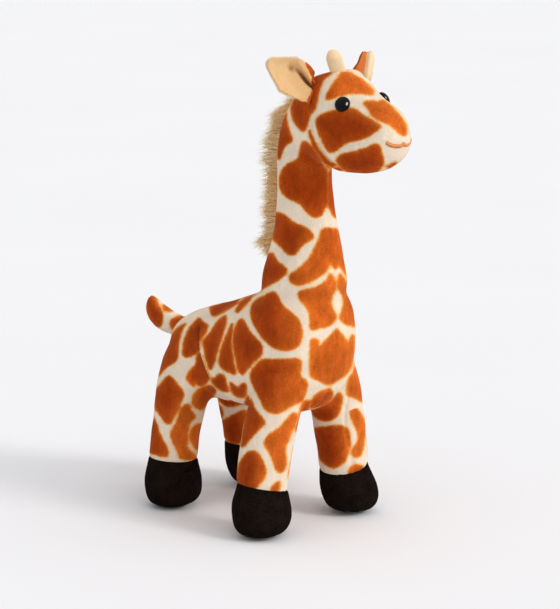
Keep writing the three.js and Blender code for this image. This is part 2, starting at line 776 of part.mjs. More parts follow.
add_piece('body', geometry_of(body), print_brown)
add_piece('neck', geometry_of(neck), print_brown)
add_piece('head', geometry_of(head), print_brown)
add_pair('front_leg', sewn_leg(front_leg), print_brown)
add_pair('rear_leg', sewn_leg(rear_leg), print_brown)
add_pair('front_hoof', front_hoof, hoof_black)
add_pair('rear_hoof', rear_hoof, hoof_black)
add_piece('tail', geometry_of(tail), print_brown)
add_pair('ear_outer', geometry_of(ear_outer), print_cream)
add_pair('ear_lining', geometry_of(ear_lining), lining_tan)
add_piece('horn_right', geometry_of(horn_right), lining_tan)
add_piece('horn_left', geometry_of(horn_left), lining_tan)
add_piece('mane', geometry_of(mane), mane_tan)
add_pair('eye', geometry_of(eye_button()), eye_black, 0.08)
add_pair('eye_washer', geometry_of(eye_washer()), washer_white, 0.4)
add_pair('mouth_stitch', geometry_of(solid(mouth_row())), mouth_brown)

// The giraffe stands with the middle of its bounding box over the origin.
const bounds = new THREE.Box3().setFromObject(giraffe)
const middle = bounds.getCenter(new THREE.Vector3())
giraffe.position.set(-middle.x, -middle.y, -bounds.min.z)

// The lines that the right ear and the tail flex about, in the giraffe's own frame.
giraffe.userData.hinges = {
  ear_right: { at: ear_pivot.toArray(), along: ear_axis.toArray() },
  tail: { at: tail_pivot.toArray(), along: [1, 0, 0] },
}

export default giraffe
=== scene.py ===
# %% [markdown]
# # A plush giraffe, dressed in cloth
#
# The construction of this toy is finished: every stuffed form has its size and its place. This
# lesson gives it a skin. We take the stuffed forms as a frame, swell them into one sewn cover,
# print the giraffe pattern on it, and add hooves, ears, horns, a mane, eyes and a mouth.
# All lengths are in metres, +Z is up, and the giraffe looks along -Y.

# %% Load the frame
import bmesh
import bpy
import numpy as np
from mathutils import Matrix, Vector
from mathutils.bvhtree import BVHTree


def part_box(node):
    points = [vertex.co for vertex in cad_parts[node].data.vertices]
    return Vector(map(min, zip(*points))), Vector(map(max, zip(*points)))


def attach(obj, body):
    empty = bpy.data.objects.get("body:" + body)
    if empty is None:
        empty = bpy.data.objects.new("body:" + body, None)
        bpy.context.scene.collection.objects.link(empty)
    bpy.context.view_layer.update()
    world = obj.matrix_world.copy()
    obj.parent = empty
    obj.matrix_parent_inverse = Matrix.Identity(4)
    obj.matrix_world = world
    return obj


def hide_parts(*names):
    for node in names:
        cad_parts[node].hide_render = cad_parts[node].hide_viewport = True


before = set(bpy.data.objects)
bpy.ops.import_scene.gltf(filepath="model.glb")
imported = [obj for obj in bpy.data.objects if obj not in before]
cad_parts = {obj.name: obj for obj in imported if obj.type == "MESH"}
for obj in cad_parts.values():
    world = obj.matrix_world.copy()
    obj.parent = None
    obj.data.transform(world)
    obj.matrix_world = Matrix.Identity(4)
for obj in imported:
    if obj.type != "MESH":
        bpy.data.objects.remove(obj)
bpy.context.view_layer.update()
MM = 0.001

# %% [markdown]
# ## The camera that took the picture
#
# The toy was photographed from its front right, a little above its back, with a long lens. A
# camera with the same place, aim and focal length lets us compare the two pictures, and it has a
# second use: a point of the cover can be projected into the picture, so that the pattern can be
# described where it is easiest to see, in the picture's own pixels.

# %% Camera
PHOTO_WIDE = 560
PHOTO_MIDDLE = np.array([280.0, 304.5])
FOCAL_PX = 2378.0
SENSOR_MM = 36.0
CAMERA_AT = np.array([-1.2531, -1.3572, 0.566])
LOOK_AT = np.array([-0.0255, -0.0408, 0.181])


def unit(v):
    """Vectors divided by their own length."""
    return v / np.maximum(np.linalg.norm(v, axis=-1, keepdims=True), 1e-12)


VIEW_AHEAD = unit(LOOK_AT - CAMERA_AT)
VIEW_RIGHT = unit(np.cross(VIEW_AHEAD, [0.0, 0.0, 1.0]))
VIEW_UP = np.cross(VIEW_RIGHT, VIEW_AHEAD)


def in_photo(points):
    """Pixels of points: the offsets along right and up, over the depth, times the focal length."""
    away = points - CAMERA_AT
    depth = away @ VIEW_AHEAD
    across = FOCAL_PX * (away @ VIEW_RIGHT) / depth
    up = FOCAL_PX * (away @ VIEW_UP) / depth
    return np.stack([PHOTO_MIDDLE[0] + across, PHOTO_MIDDLE[1] - up], -1), depth


def placed(name, data):
    """A new object with the given data, linked to the scene."""
    made = bpy.data.objects.new(name, data)
    bpy.context.scene.collection.objects.link(made)
    return made


camera_data = bpy.data.cameras.new("camera")
camera_data.sensor_fit = "HORIZONTAL"
camera_data.sensor_width = SENSOR_MM
camera_data.lens = FOCAL_PX / PHOTO_WIDE * SENSOR_MM
camera = placed("camera", camera_data)
camera.location = CAMERA_AT
camera.rotation_euler = Vector(VIEW_AHEAD).to_track_quat("-Z", "Y").to_euler()
bpy.context.scene.camera = camera
print("camera lens", round(camera_data.lens, 1), "mm")

# %% [markdown]
# ## Arrays in and out of meshes
#
# Every shape below is an array of points and an array of faces. A few short helpers carry them
# into a mesh and back, join the triangles of a frame node at their shared corners, and average
# each point with its neighbours, which is how a surface is smoothed.

# %% Rows of numbers in a mesh


def rows_from(elements, key, width, kind=np.float64):
    """What a mesh's points, edges or triangles hold under a key, as rows of a given width."""
    flat = np.empty(len(elements) * width, dtype=kind)
    elements.foreach_get(key, flat)
    return flat.reshape(-1, width)


def points_of(mesh):
    """The points of a mesh as rows of x, y, z."""
    return rows_from(mesh.vertices, "co", 3)


def normals_of(mesh):
    """The outward direction at each point of a mesh."""
    return rows_from(mesh.vertex_normals, "vector", 3)


def edges_of(mesh):
    """The pairs of points that edges join."""
    return rows_from(mesh.edges, "vertices", 2, np.int64)


def set_points(mesh, points):
    """Moves the points of a mesh."""
    mesh.vertices.foreach_set("co", np.ascontiguousarray(points, dtype=np.float32).ravel())
    mesh.update()


def set_number(piece, name, values):
    """Stores one number for each point, for a material to read."""
    layer = piece.data.attributes.new(name, "FLOAT", "POINT")
    layer.data.foreach_set("value", np.ascontiguousarray(values, dtype=np.float32))


print("array helpers ready")

# %% Objects and modifiers


def shade_smooth(mesh):
    """Lets the light run smoothly over all faces of a mesh."""
    mesh.polygons.foreach_set("use_smooth", np.full(len(mesh.polygons), True))


def make_object(name, points, faces):
    """A new object from points and faces."""
    mesh = bpy.data.meshes.new(name)
    mesh.from_pydata(points.tolist(), [], [list(f) for f in faces])
    shade_smooth(mesh)
    mesh.update()
    return placed(name, mesh)


def evaluated(piece):
    """The piece's mesh with its modifiers applied."""
    bpy.context.view_layer.update()
    graph = bpy.context.evaluated_depsgraph_get()
    return bpy.data.meshes.new_from_object(piece.evaluated_get(graph))


def apply_modifiers(piece):
    """Keeps what the modifiers make, and removes them."""
    mesh = evaluated(piece)
    piece.modifiers.clear()
    piece.data = mesh
    shade_smooth(mesh)


print("object helpers ready")

# %% Smoothing


def blurred(values, edges, rounds):
    """Each round moves a point's value half of the way to the mean of its neighbours' values."""
    ends = np.concatenate([edges[:, 0], edges[:, 1]])
    others = np.concatenate([edges[:, 1], edges[:, 0]])
    count = np.maximum(np.bincount(ends, minlength=len(values)), 1)
    for _ in range(rounds):
        mean = np.bincount(ends, values[others], len(values)) / count
        values = values + 0.5 * (mean - values)
    return values


def smoothed(mesh, points, rounds):
    """The same for the places of points: x, y and z are blurred one by one."""
    edges = edges_of(mesh)
    return np.stack([blurred(points[:, k], edges, rounds) for k in range(3)], 1)


print("smoothing helpers ready")

# %% Forms of the frame's nodes
STEPS_PER_M = 1e6


def node_form(name, grow):
    """A node's points, joined where they agree to a micrometre and moved out, and triangles."""
    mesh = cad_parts[name].data
    points = points_of(mesh)
    mesh.calc_loop_triangles()
    corners = rows_from(mesh.loop_triangles, "vertices", 3, np.int64)
    places = np.round(points * STEPS_PER_M)
    _, first, twin = np.unique(places, axis=0, return_index=True, return_inverse=True)
    points, faces = points[first], twin.ravel()[corners]
    a, b, c = (points[faces[:, k]] for k in range(3))
    facing = np.cross(b - a, c - a)
    out = np.zeros_like(points)
    for k in range(3):
        np.add.at(out, faces[:, k], facing)
    return points + grow * unit(out), faces


def joined_forms(names, grow):
    """Several node forms as one set of points and triangles."""
    all_points, all_faces, start = [], [], 0
    for name in names:
        points, faces = node_form(name, grow)
        all_points.append(points)
        all_faces.append(faces + start)
        start += len(points)
    return np.concatenate(all_points), np.concatenate(all_faces)


print("form helpers ready")

# %% [markdown]
# ## Stuffing a cover
#
# A stuffed toy is a cloth bag that fibre pushes outwards. The frame's forms are joined into one
# closed shell by a voxel remesh. Smoothing takes the steps out of the shell, and also some of
# its size, so it is laid on the forms again before it is shrunk a little and blown up as cloth
# with air pressure inside. The pressure rounds the forms and draws a soft hollow where a leg
# meets the belly, as filling does. A cap on how far a point may move keeps the frame's size.

# %% A shell on the forms
SHELL_ROUNDS = 2
LAID_MOST = 0.7


def capped(moves, most):
    """Moves that are longer than the most are shortened to it."""
    far = np.linalg.norm(moves, axis=1, keepdims=True)
    return moves * np.minimum(1.0, most / np.maximum(far, 1e-9))


def remeshed(name, names, voxel, grow, shrink):
    """One closed shell laid on the forms, moved inwards to leave room for the filling."""
    points, faces = joined_forms(names, grow)
    forms = make_object(f"{name}_forms", points, faces)
    piece = make_object(name, points, faces)
    remesh = piece.modifiers.new("shell", "REMESH")
    remesh.mode = "VOXEL"
    remesh.voxel_size = voxel
    apply_modifiers(piece)
    mesh = piece.data
    rounded = smoothed(mesh, points_of(mesh), SHELL_ROUNDS)
    set_points(mesh, rounded)
    wrap = piece.modifiers.new("laid on", "SHRINKWRAP")
    wrap.target = forms
    laid = points_of(evaluated(piece)) - rounded
    piece.modifiers.clear()
    bpy.data.objects.remove(forms)
    laid = smoothed(mesh, capped(laid, LAID_MOST * voxel), 1)
    set_points(mesh, rounded + laid)
    set_points(mesh, rounded + laid - (grow + shrink) * normals_of(mesh))
    return piece


print("shell helper ready")

# %% Stuffing
PRESSURE = 4.0
CLOTH_QUALITY = 6
LAST_FRAME = 20


def stuff(piece, cap):
    """Swells the piece as cloth under pressure; a point moves no further than the cap."""
    rest = points_of(piece.data)
    cloth = piece.modifiers.new("stuffing", "CLOTH")
    cloth.settings.use_pressure = True
    cloth.settings.uniform_pressure_force = PRESSURE
    cloth.settings.effector_weights.gravity = 0
    cloth.settings.quality = CLOTH_QUALITY
    cloth.point_cache.frame_end = LAST_FRAME
    for frame_number in range(1, LAST_FRAME + 1):
        bpy.context.scene.frame_set(frame_number)
    move = points_of(evaluated(piece)) - rest
    piece.modifiers.clear()
    bpy.context.scene.frame_set(1)
    typical = float(np.median(np.linalg.norm(move, axis=1))) / MM
    print(piece.name, "swelled by", round(typical, 2), "mm at its middle point")
    set_points(piece.data, rest + capped(move, cap))


def subdivided(piece, levels):
    """Subdivision rounds the faces and gives the print fine points to sit on."""
    smooth = piece.modifiers.new("fine", "SUBSURF")
    smooth.levels = levels
    smooth.render_levels = levels
    apply_modifiers(piece)


print("stuffing helpers ready")

# %% Cover
LEGS = ["front_leg_right", "front_leg_left", "rear_leg_right", "rear_leg_left"]
HOOVES = ["front_hoof_right", "front_hoof_left", "rear_hoof_right", "rear_hoof_left"]
EYES = ["eye_right", "eye_left", "eye_washer_right", "eye_washer_left"]
COVER_VOXEL = 4.6 * MM
COVER_GROWS = 0.3 * MM
COVER_SHRINKS = 0.5 * MM
COVER_SWELLS = 2.6 * MM
cover = remeshed("cover", ["body", "neck", "head"] + LEGS + HOOVES + EYES,
                 COVER_VOXEL, COVER_GROWS, COVER_SHRINKS)
stuff(cover, COVER_SWELLS)
subdivided(cover, 2)
print("cover has", len(cover.data.vertices), "points")

# %% [markdown]
# ## Unevenness of the filling
#
# Fibre is pushed in by hand, so a stuffed form is never quite even. A few slow waves in
# different directions, added up, push the cover in and out by a few tenths of a millimetre.

# %% Unevenness
LUMP_HIGH = 0.32 * MM
LUMP_SEED = 3
LUMP_WAVES = 9
LUMP_LONG_MM = (16.0, 38.0)


def lumps(points, seed):
    """Twice the mean of sine waves, 16 to 38 mm long, in seeded directions."""
    random = np.random.default_rng(seed)
    ways = unit(random.normal(size=(LUMP_WAVES, 3))) * 2 * np.pi
    ways /= random.uniform(*LUMP_LONG_MM, (LUMP_WAVES, 1)) * MM
    return np.sin(points @ ways.T + random.uniform(0, 2 * np.pi, LUMP_WAVES)).mean(1) * 2


cover_points = points_of(cover.data)
cover_points += (LUMP_HIGH * lumps(cover_points, LUMP_SEED))[:, None] * normals_of(cover.data)
set_points(cover.data, cover_points)
print("cover made uneven")

# %% [markdown]
# ## Where the eyes press in
#
# A safety eye is a button that a washer clamps to the cloth, so the cover is drawn in round it.
# The eye's own axis is known from the frame: it runs through the middles of the button and of
# the washer. Points close to that axis are pressed down to a shallow bowl under the button.

# %% Eye places and sockets
SIDES = ("right", "left")
EYE_RADIUS = 6.0 * MM
EYE_STANDS = 3.3 * MM
SOCKET_RADIUS = 10.5 * MM
SOCKET_DEEP = 1.3 * MM


def eye_line(side):
    """The eye's seat on the head, and the outward direction from its washer to its button."""
    button, _ = node_form(f"eye_{side}", 0.0)
    washer, _ = node_form(f"eye_washer_{side}", 0.0)
    out = unit(button.mean(0) - washer.mean(0))
    middle = washer.mean(0)
    top = ((button - middle) @ out).max()
    return middle + (top - EYE_STANDS) * out, out


def press_socket(points, seat, out):
    """Height over the seat stays under -deep (1 - (r / radius)^2), r from the eye's axis."""
    away = points - seat
    height = away @ out
    radius = np.linalg.norm(away - height[:, None] * out, axis=1)
    bowl = -SOCKET_DEEP * (1 - (radius / SOCKET_RADIUS) ** 2)
    near = (radius < SOCKET_RADIUS) & (np.abs(height) < 2 * EYE_RADIUS) & (height > bowl)
    points[near] -= ((height - bowl)[near])[:, None] * out
    return points


cover_points = points_of(cover.data)
for side in SIDES:
    cover_points = press_socket(cover_points, *eye_line(side))
set_points(cover.data, cover_points)
print("eye seat, right:", np.round(eye_line("right")[0] / MM, 1), "mm")

# %% [markdown]
# ## Where seams and stitches lie
#
# A seam is a line on the cover. Most of the seams can be followed in the picture, so each is
# given as a row of pixels. A ray through each pixel meets the cover where the seam runs, and the
# same row mirrored gives the seam of the other side. Only the side towards the camera can be
# reached this way, which is enough, because the toy is the same on both sides.

# %% Pixels onto the cover
BLOCK = 8192


def running_length(row):
    """The length along a row from its first point to each of its points."""
    return np.concatenate([[0.0], np.cumsum(np.linalg.norm(np.diff(row, axis=0), axis=1))])


def resampled(row, step):
    """Points at even steps along a row, by their running length."""
    row = np.asarray(row, dtype=float)
    length = running_length(row)
    at = np.linspace(0.0, length[-1], max(2, int(length[-1] / step) + 1))
    return np.stack([np.interp(at, length, row[:, k]) for k in range(row.shape[1])], 1)


def surface_tree(piece):
    """A search tree over the faces of a piece, for rays."""
    corners = [v.co[:] for v in piece.data.vertices]
    return BVHTree.FromPolygons(corners, [p.vertices[:] for p in piece.data.polygons])


def onto(tree, pixels):
    """Where rays through pixels meet the surface, and the outward directions there."""
    across = (np.asarray(pixels)[:, 0] - PHOTO_MIDDLE[0]) / FOCAL_PX
    up = (PHOTO_MIDDLE[1] - np.asarray(pixels)[:, 1]) / FOCAL_PX
    ways = unit(VIEW_AHEAD + across[:, None] * VIEW_RIGHT + up[:, None] * VIEW_UP)
    hits = [tree.ray_cast(Vector(CAMERA_AT), Vector(way)) for way in ways]
    found = [hit for hit in hits if hit[0] is not None]
    return np.array([hit[0][:] for hit in found]), np.array([hit[1][:] for hit in found])


def squares_between(points, targets):
    """Squared distances of all points to all targets: p^2 + t^2 - 2 p t."""
    return (points**2).sum(1)[:, None] + (targets**2).sum(1) - 2 * points @ targets.T


def nearest(points, targets):
    """For each point, the distance to the nearest target and the number of that target."""
    far = np.empty(len(points))
    which = np.empty(len(points), dtype=np.int64)
    for start in range(0, len(points), BLOCK):
        part = slice(start, start + BLOCK)
        square = squares_between(points[part], targets)
        which[part] = square.argmin(1)
        far[part] = np.sqrt(np.maximum(square.min(1), 0.0))
    return far, which


def to_right(points):
    """Points of the left side mirrored onto the right side, where x is negative."""
    return np.stack([-np.abs(points[:, 0]), points[:, 1], points[:, 2]], 1)


print("picture helpers ready")

# %% Seams as rows of pixels
SEAM_STEP_PX = 0.8
HEAD_SEAM = [(309, 104), (309, 116), (310.7, 130), (315, 137.6), (320.5, 149.5), (326, 158),
             (335.7, 165.8)]
FLANK_SEAM = [(199.8, 324), (200.5, 331), (200.5, 338), (200.5, 346), (202, 355), (205, 364),
              (208.5, 373), (213, 381.5), (219, 388), (226, 394)]
GUSSET_SEAM = [(300, 401), (299.5, 412), (296, 431), (292, 452), (288, 472), (285, 488)]
CHEST_SEAM = [(318.5, 348), (317, 357), (314.5, 364), (312.5, 371)]
cover_tree = surface_tree(cover)
seam_rows = {"head": HEAD_SEAM, "flank": FLANK_SEAM, "gusset": GUSSET_SEAM, "chest": CHEST_SEAM}
seam_points = {name: onto(cover_tree, resampled(row, SEAM_STEP_PX))[0]
               for name, row in seam_rows.items()}
print({name: len(found) for name, found in seam_points.items()})

# %% [markdown]
# ## Sewing the seams in
#
# A sewn seam is a narrow groove, because the thread pulls the cloth in, a little more here and a
# little less there. The middle seam runs all along the toy, apart from the face, and is finer
# under the belly. Between flank and thigh there is more than a groove: the torso swells and laps
# over the thigh, so the thigh starts deep in a crease and comes up again behind it. The crown is
# swollen too, at the horns' feet. Each of these moves the cover along its own outward direction,
# by a bell of the distance to the seam, which is a smooth curve with nothing to model by hand.

# %% Grooves, swells and the crease
SEAM_DEEP = 1.1 * MM
SEAM_WIDE = 1.7 * MM
HEAD_SEAM_DEEP = 2.0 * MM
HEAD_SEAM_WIDE = 2.2 * MM
PUCKER_STEP = 7.0 * MM
PUCKER_SHARE = 0.15
CREASE_DEEP = 4.2 * MM
CREASE_EDGE = 0.45 * MM
CREASE_RISE = 7.0 * MM
CREASE_SWELL = 1.6 * MM
CREASE_REACH = 9.0 * MM
CREASE_LOW = 0.105
CREASE_FADE = 0.022
CREASE_LEAST = 0.25


def bell(far, wide):
    """exp(-(far / wide)^2): 1 on a line, and nearly 0 at twice the width from it."""
    return np.exp(-(far / wide) ** 2)


def sewn_in(points, normals, seam, deep, wide):
    """A groove, deep times a bell of the distance, made uneven along the seam by a slow wave."""
    far, which = nearest(to_right(points), seam)
    along = running_length(seam)[which]
    wave = 1 - PUCKER_SHARE + PUCKER_SHARE * np.sin(2 * np.pi * along / PUCKER_STEP)
    return points - (deep * wave * bell(far, wide))[:, None] * normals


def swollen(points, normals, places, swell, reach):
    """The cloth swells by a wide bell, swell exp(-(d / reach)^2), round the given places."""
    far, _ = nearest(to_right(points), places)
    return points + (swell * bell(far, reach))[:, None] * normals


def behind_crease(points):
    """Signed distance to the crease, positive on the thigh, and a share that fades out below."""
    crease = seam_points["flank"]
    far, which = nearest(to_right(points), crease)
    share = np.clip((crease[which, 2] - CREASE_LOW) / CREASE_FADE, CREASE_LEAST, 1.0)
    return far * np.sign(points[:, 1] - crease[which, 1]), share


def tucked(points, normals):
    """The torso laps over the thigh: deep exp(-s / rise) / (1 + exp(-s / edge)), s behind it."""
    side, share = behind_crease(points)
    step = np.exp(-np.clip(side, 0.0, None) / CREASE_RISE)
    step /= 1.0 + np.exp(-np.clip(side / CREASE_EDGE, -30.0, 30.0))
    return points - (CREASE_DEEP * share * step)[:, None] * normals


print("sewing helpers ready")

# %% Seams of the cover
MIDDLE_SHARE = 0.8
BELLY_SHARE = 0.4
BELLY_HIGH = 0.09
FACE_BACK = -0.09
FACE_LOW = 0.30
CROWN_MIDDLE = (341, 77)
CROWN_SWELL = 1.7 * MM
CROWN_REACH = 13.0 * MM
cover_points = points_of(cover.data)
cover_normals = normals_of(cover.data)
middle = np.abs(cover_points[:, 0])
on_back = np.where(cover_points[:, 2] > BELLY_HIGH, 1.0, BELLY_SHARE)
groove = MIDDLE_SHARE * SEAM_DEEP * on_back * bell(middle, SEAM_WIDE)
on_face = (cover_points[:, 1] < FACE_BACK) & (cover_points[:, 2] > FACE_LOW)
cover_points -= np.where(on_face, 0.0, groove)[:, None] * cover_normals
crown, _ = onto(cover_tree, [CROWN_MIDDLE])
cover_points = swollen(cover_points, cover_normals, crown, CROWN_SWELL, CROWN_REACH)
flank = seam_points["flank"]
cover_points = swollen(cover_points, cover_normals, flank, CREASE_SWELL, CREASE_REACH)
cover_points = tucked(cover_points, cover_normals)
for name in ("head", "gusset", "chest"):
    deep, wide = (HEAD_SEAM_DEEP, HEAD_SEAM_WIDE) if name == "head" else (SEAM_DEEP, SEAM_WIDE)
    cover_points = sewn_in(cover_points, cover_normals, seam_points[name], deep, wide)
set_points(cover.data, cover_points)
print("seams sewn")

# %% [markdown]
# ## Hooves cut from the same shell
#
# The hooves are velvet, sewn to the legs all round, and the toy's outline runs over that seam
# without a step. So the shell was made with the hooves on it, and each hoof is now cut off along
# its slanted seam plane. The cut edges are drawn in a little, where the thread holds them, and
# both sides are closed.

# %% Hoof seams
HOOF_SEAM_HIGH = 39.5 * MM
HOOF_SEAM_DEEP = 0.8 * MM
HOOF_SEAM_WIDE = 1.5 * MM
HOOF_TILT = {"front": 0.2, "rear": 0.05}
SOLE_FLAT = 0.7 * MM
TOE_SEAM_DEEP = 0.6 * MM
TOE_SEAM_WIDE = 1.4 * MM
LEGS_PART_AT = 0.01


def hoof_plane(node):
    """The seam plane: through the hoof's middle at seam height, tilted up towards the outside."""
    low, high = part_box(node)
    middle = (np.array(low) + np.array(high)) / 2
    middle[2] = HOOF_SEAM_HIGH
    tilt = HOOF_TILT[node.split("_")[0]] * np.sign(middle[0])
    return middle, unit(np.array([-tilt, 0.0, 1.0]))


def beside(points, node):
    """Which points are in the quarter of the floor that belongs to a hoof, under the knee."""
    middle, _ = hoof_plane(node)
    same_end = (points[:, 1] > LEGS_PART_AT) == (middle[1] > LEGS_PART_AT)
    return (points[:, 0] * middle[0] > 0) & same_end & (points[:, 2] < 2 * HOOF_SEAM_HIGH)


def closed_part(whole, keep, name):
    """A mesh of the kept faces, with the cut loops filled."""
    part = whole.copy()
    part.faces.ensure_lookup_table()
    bmesh.ops.delete(part, geom=[f for f, k in zip(part.faces, keep) if not k], context="FACES")
    loose = [e for e in part.edges if e.is_boundary]
    bmesh.ops.holes_fill(part, edges=loose, sides=0)
    mesh = bpy.data.meshes.new(name)
    part.to_mesh(mesh)
    part.free()
    shade_smooth(mesh)
    return mesh


print("hoof seams run", round(HOOF_SEAM_HIGH / MM, 1), "mm over the floor")

# %% Cutting the shell along the hoof seams
CUT_JOINS = 1e-5
whole = bmesh.new()
whole.from_mesh(cover.data)
for node in HOOVES:
    middle, up = hoof_plane(node)
    whole.verts.ensure_lookup_table()
    near = beside(np.array([v.co[:] for v in whole.verts]), node)
    faces = [f for f in whole.faces if near[f.verts[0].index]]
    edges = {e for f in faces for e in f.edges}
    verts = {v for f in faces for v in f.verts}
    bmesh.ops.bisect_plane(whole, geom=[*faces, *edges, *verts], dist=CUT_JOINS,
                           plane_co=middle, plane_no=up)
    whole.verts.index_update()
whole.to_mesh(cover.data)
whole.free()
print("shell cut,", len(cover.data.vertices), "points")

# %% Thread in the hoof seams, and flat soles
cover_points = points_of(cover.data)
cover_normals = normals_of(cover.data)
for node in HOOVES:
    middle, up = hoof_plane(node)
    near = beside(cover_points, node)
    from_seam = (cover_points - middle) @ up
    drawn_in = HOOF_SEAM_DEEP * bell(from_seam, HOOF_SEAM_WIDE) * near
    across = cover_points[:, 0] - middle[0]
    toe = (cover_points[:, 1] < middle[1]) & near & (from_seam < 0)
    drawn_in += TOE_SEAM_DEEP * bell(across, TOE_SEAM_WIDE) * toe
    cover_points -= drawn_in[:, None] * cover_normals
cover_points[:, 2] = np.where(cover_points[:, 2] < SOLE_FLAT, 0.0, cover_points[:, 2])
set_points(cover.data, cover_points)
print("hoof seams drawn in")

# %% Taking the hooves off
whole = bmesh.new()
whole.from_mesh(cover.data)
centres = np.array([f.calc_center_median()[:] for f in whole.faces])
on_leg = np.full(len(centres), True)
hoof_pieces = {}
for node in HOOVES:
    middle, up = hoof_plane(node)
    in_hoof = beside(centres, node) & ((centres - middle) @ up < 0)
    on_leg &= ~in_hoof
    name = f"{node}_cover"
    hoof_pieces[node] = placed(name, closed_part(whole, in_hoof, name))
cover.data = closed_part(whole, on_leg, "cover")
whole.free()
print("hooves cut off;", len(cover.data.vertices), "points left on the cover")

# %% [markdown]
# ## The printed pattern
#
# The cloth is cream with brown patches that have an orange fringe, which is how the print fades
# into the pile. Each patch is given as an outline in the picture's pixels, with its corners cut
# round. What a point of the cover keeps is one number: how far it lies inside a patch, in
# millimetres, negative outside. A material can turn such a number into any soft edge.

# %% Patch outlines, head and neck
HEAD_PATCHES = {
    "forehead": [(325.7, 99.6), (326.8, 95.4), (329.5, 90), (333.4, 83.8), (338, 77.7), (341, 73),
                 (344, 71.5), (350.3, 73), (356.5, 76.5), (362.6, 80.3), (368, 85), (374, 91),
                 (372.6, 94.6), (367.2, 93.8), (360.3, 93), (351.8, 93), (345, 94.2),
                 (337.2, 96.2), (330.3, 98.8)],
    "temple": [(333, 69), (318, 70), (304, 80), (303, 103), (308.5, 106), (309, 115), (310, 114.4),
               (313.9, 110.6), (316.4, 103.8), (317.6, 97.5), (319.3, 89), (321.8, 81.5),
               (325.7, 77), (329.5, 74.6), (331.8, 72.3)],
    "cheek": [(316.4, 120), (318.3, 116.9), (322, 115), (332, 111.3), (342, 109.5), (348, 108.5),
              (355, 109.3), (360.3, 113.7), (370.8, 119.9), (381.7, 126.4), (377.9, 129.5),
              (369, 135.7), (360.3, 139.2), (348, 141.8), (342, 145), (335.8, 150.6), (332, 152.1),
              (328.3, 151.3), (325.8, 147.5), (322, 140), (318.3, 131.3), (316.4, 123.8)],
    "nose bridge": [(363.4, 102.7), (367.2, 101.5), (373, 101.2), (378.8, 102.5), (382, 99.8),
                    (390, 105.5), (400, 116), (406, 125), (406.8, 132), (404.5, 136), (400, 133.5),
                    (394, 128.3), (388, 123), (379.6, 120.5), (373, 116), (369, 109.5),
                    (366, 106)],
    "jaw": [(335.7, 159.4), (341, 155), (353.3, 152.4), (365.6, 148.8), (376.1, 143.6),
            (379.6, 147), (383.1, 159.4), (383.1, 164.6), (376.1, 173), (363.8, 176), (349.8, 174),
            (340, 166.5)],
    "chin": [(386, 167.5), (390, 164.8), (395.5, 162), (396.5, 163.5), (390.5, 167.5)],
}
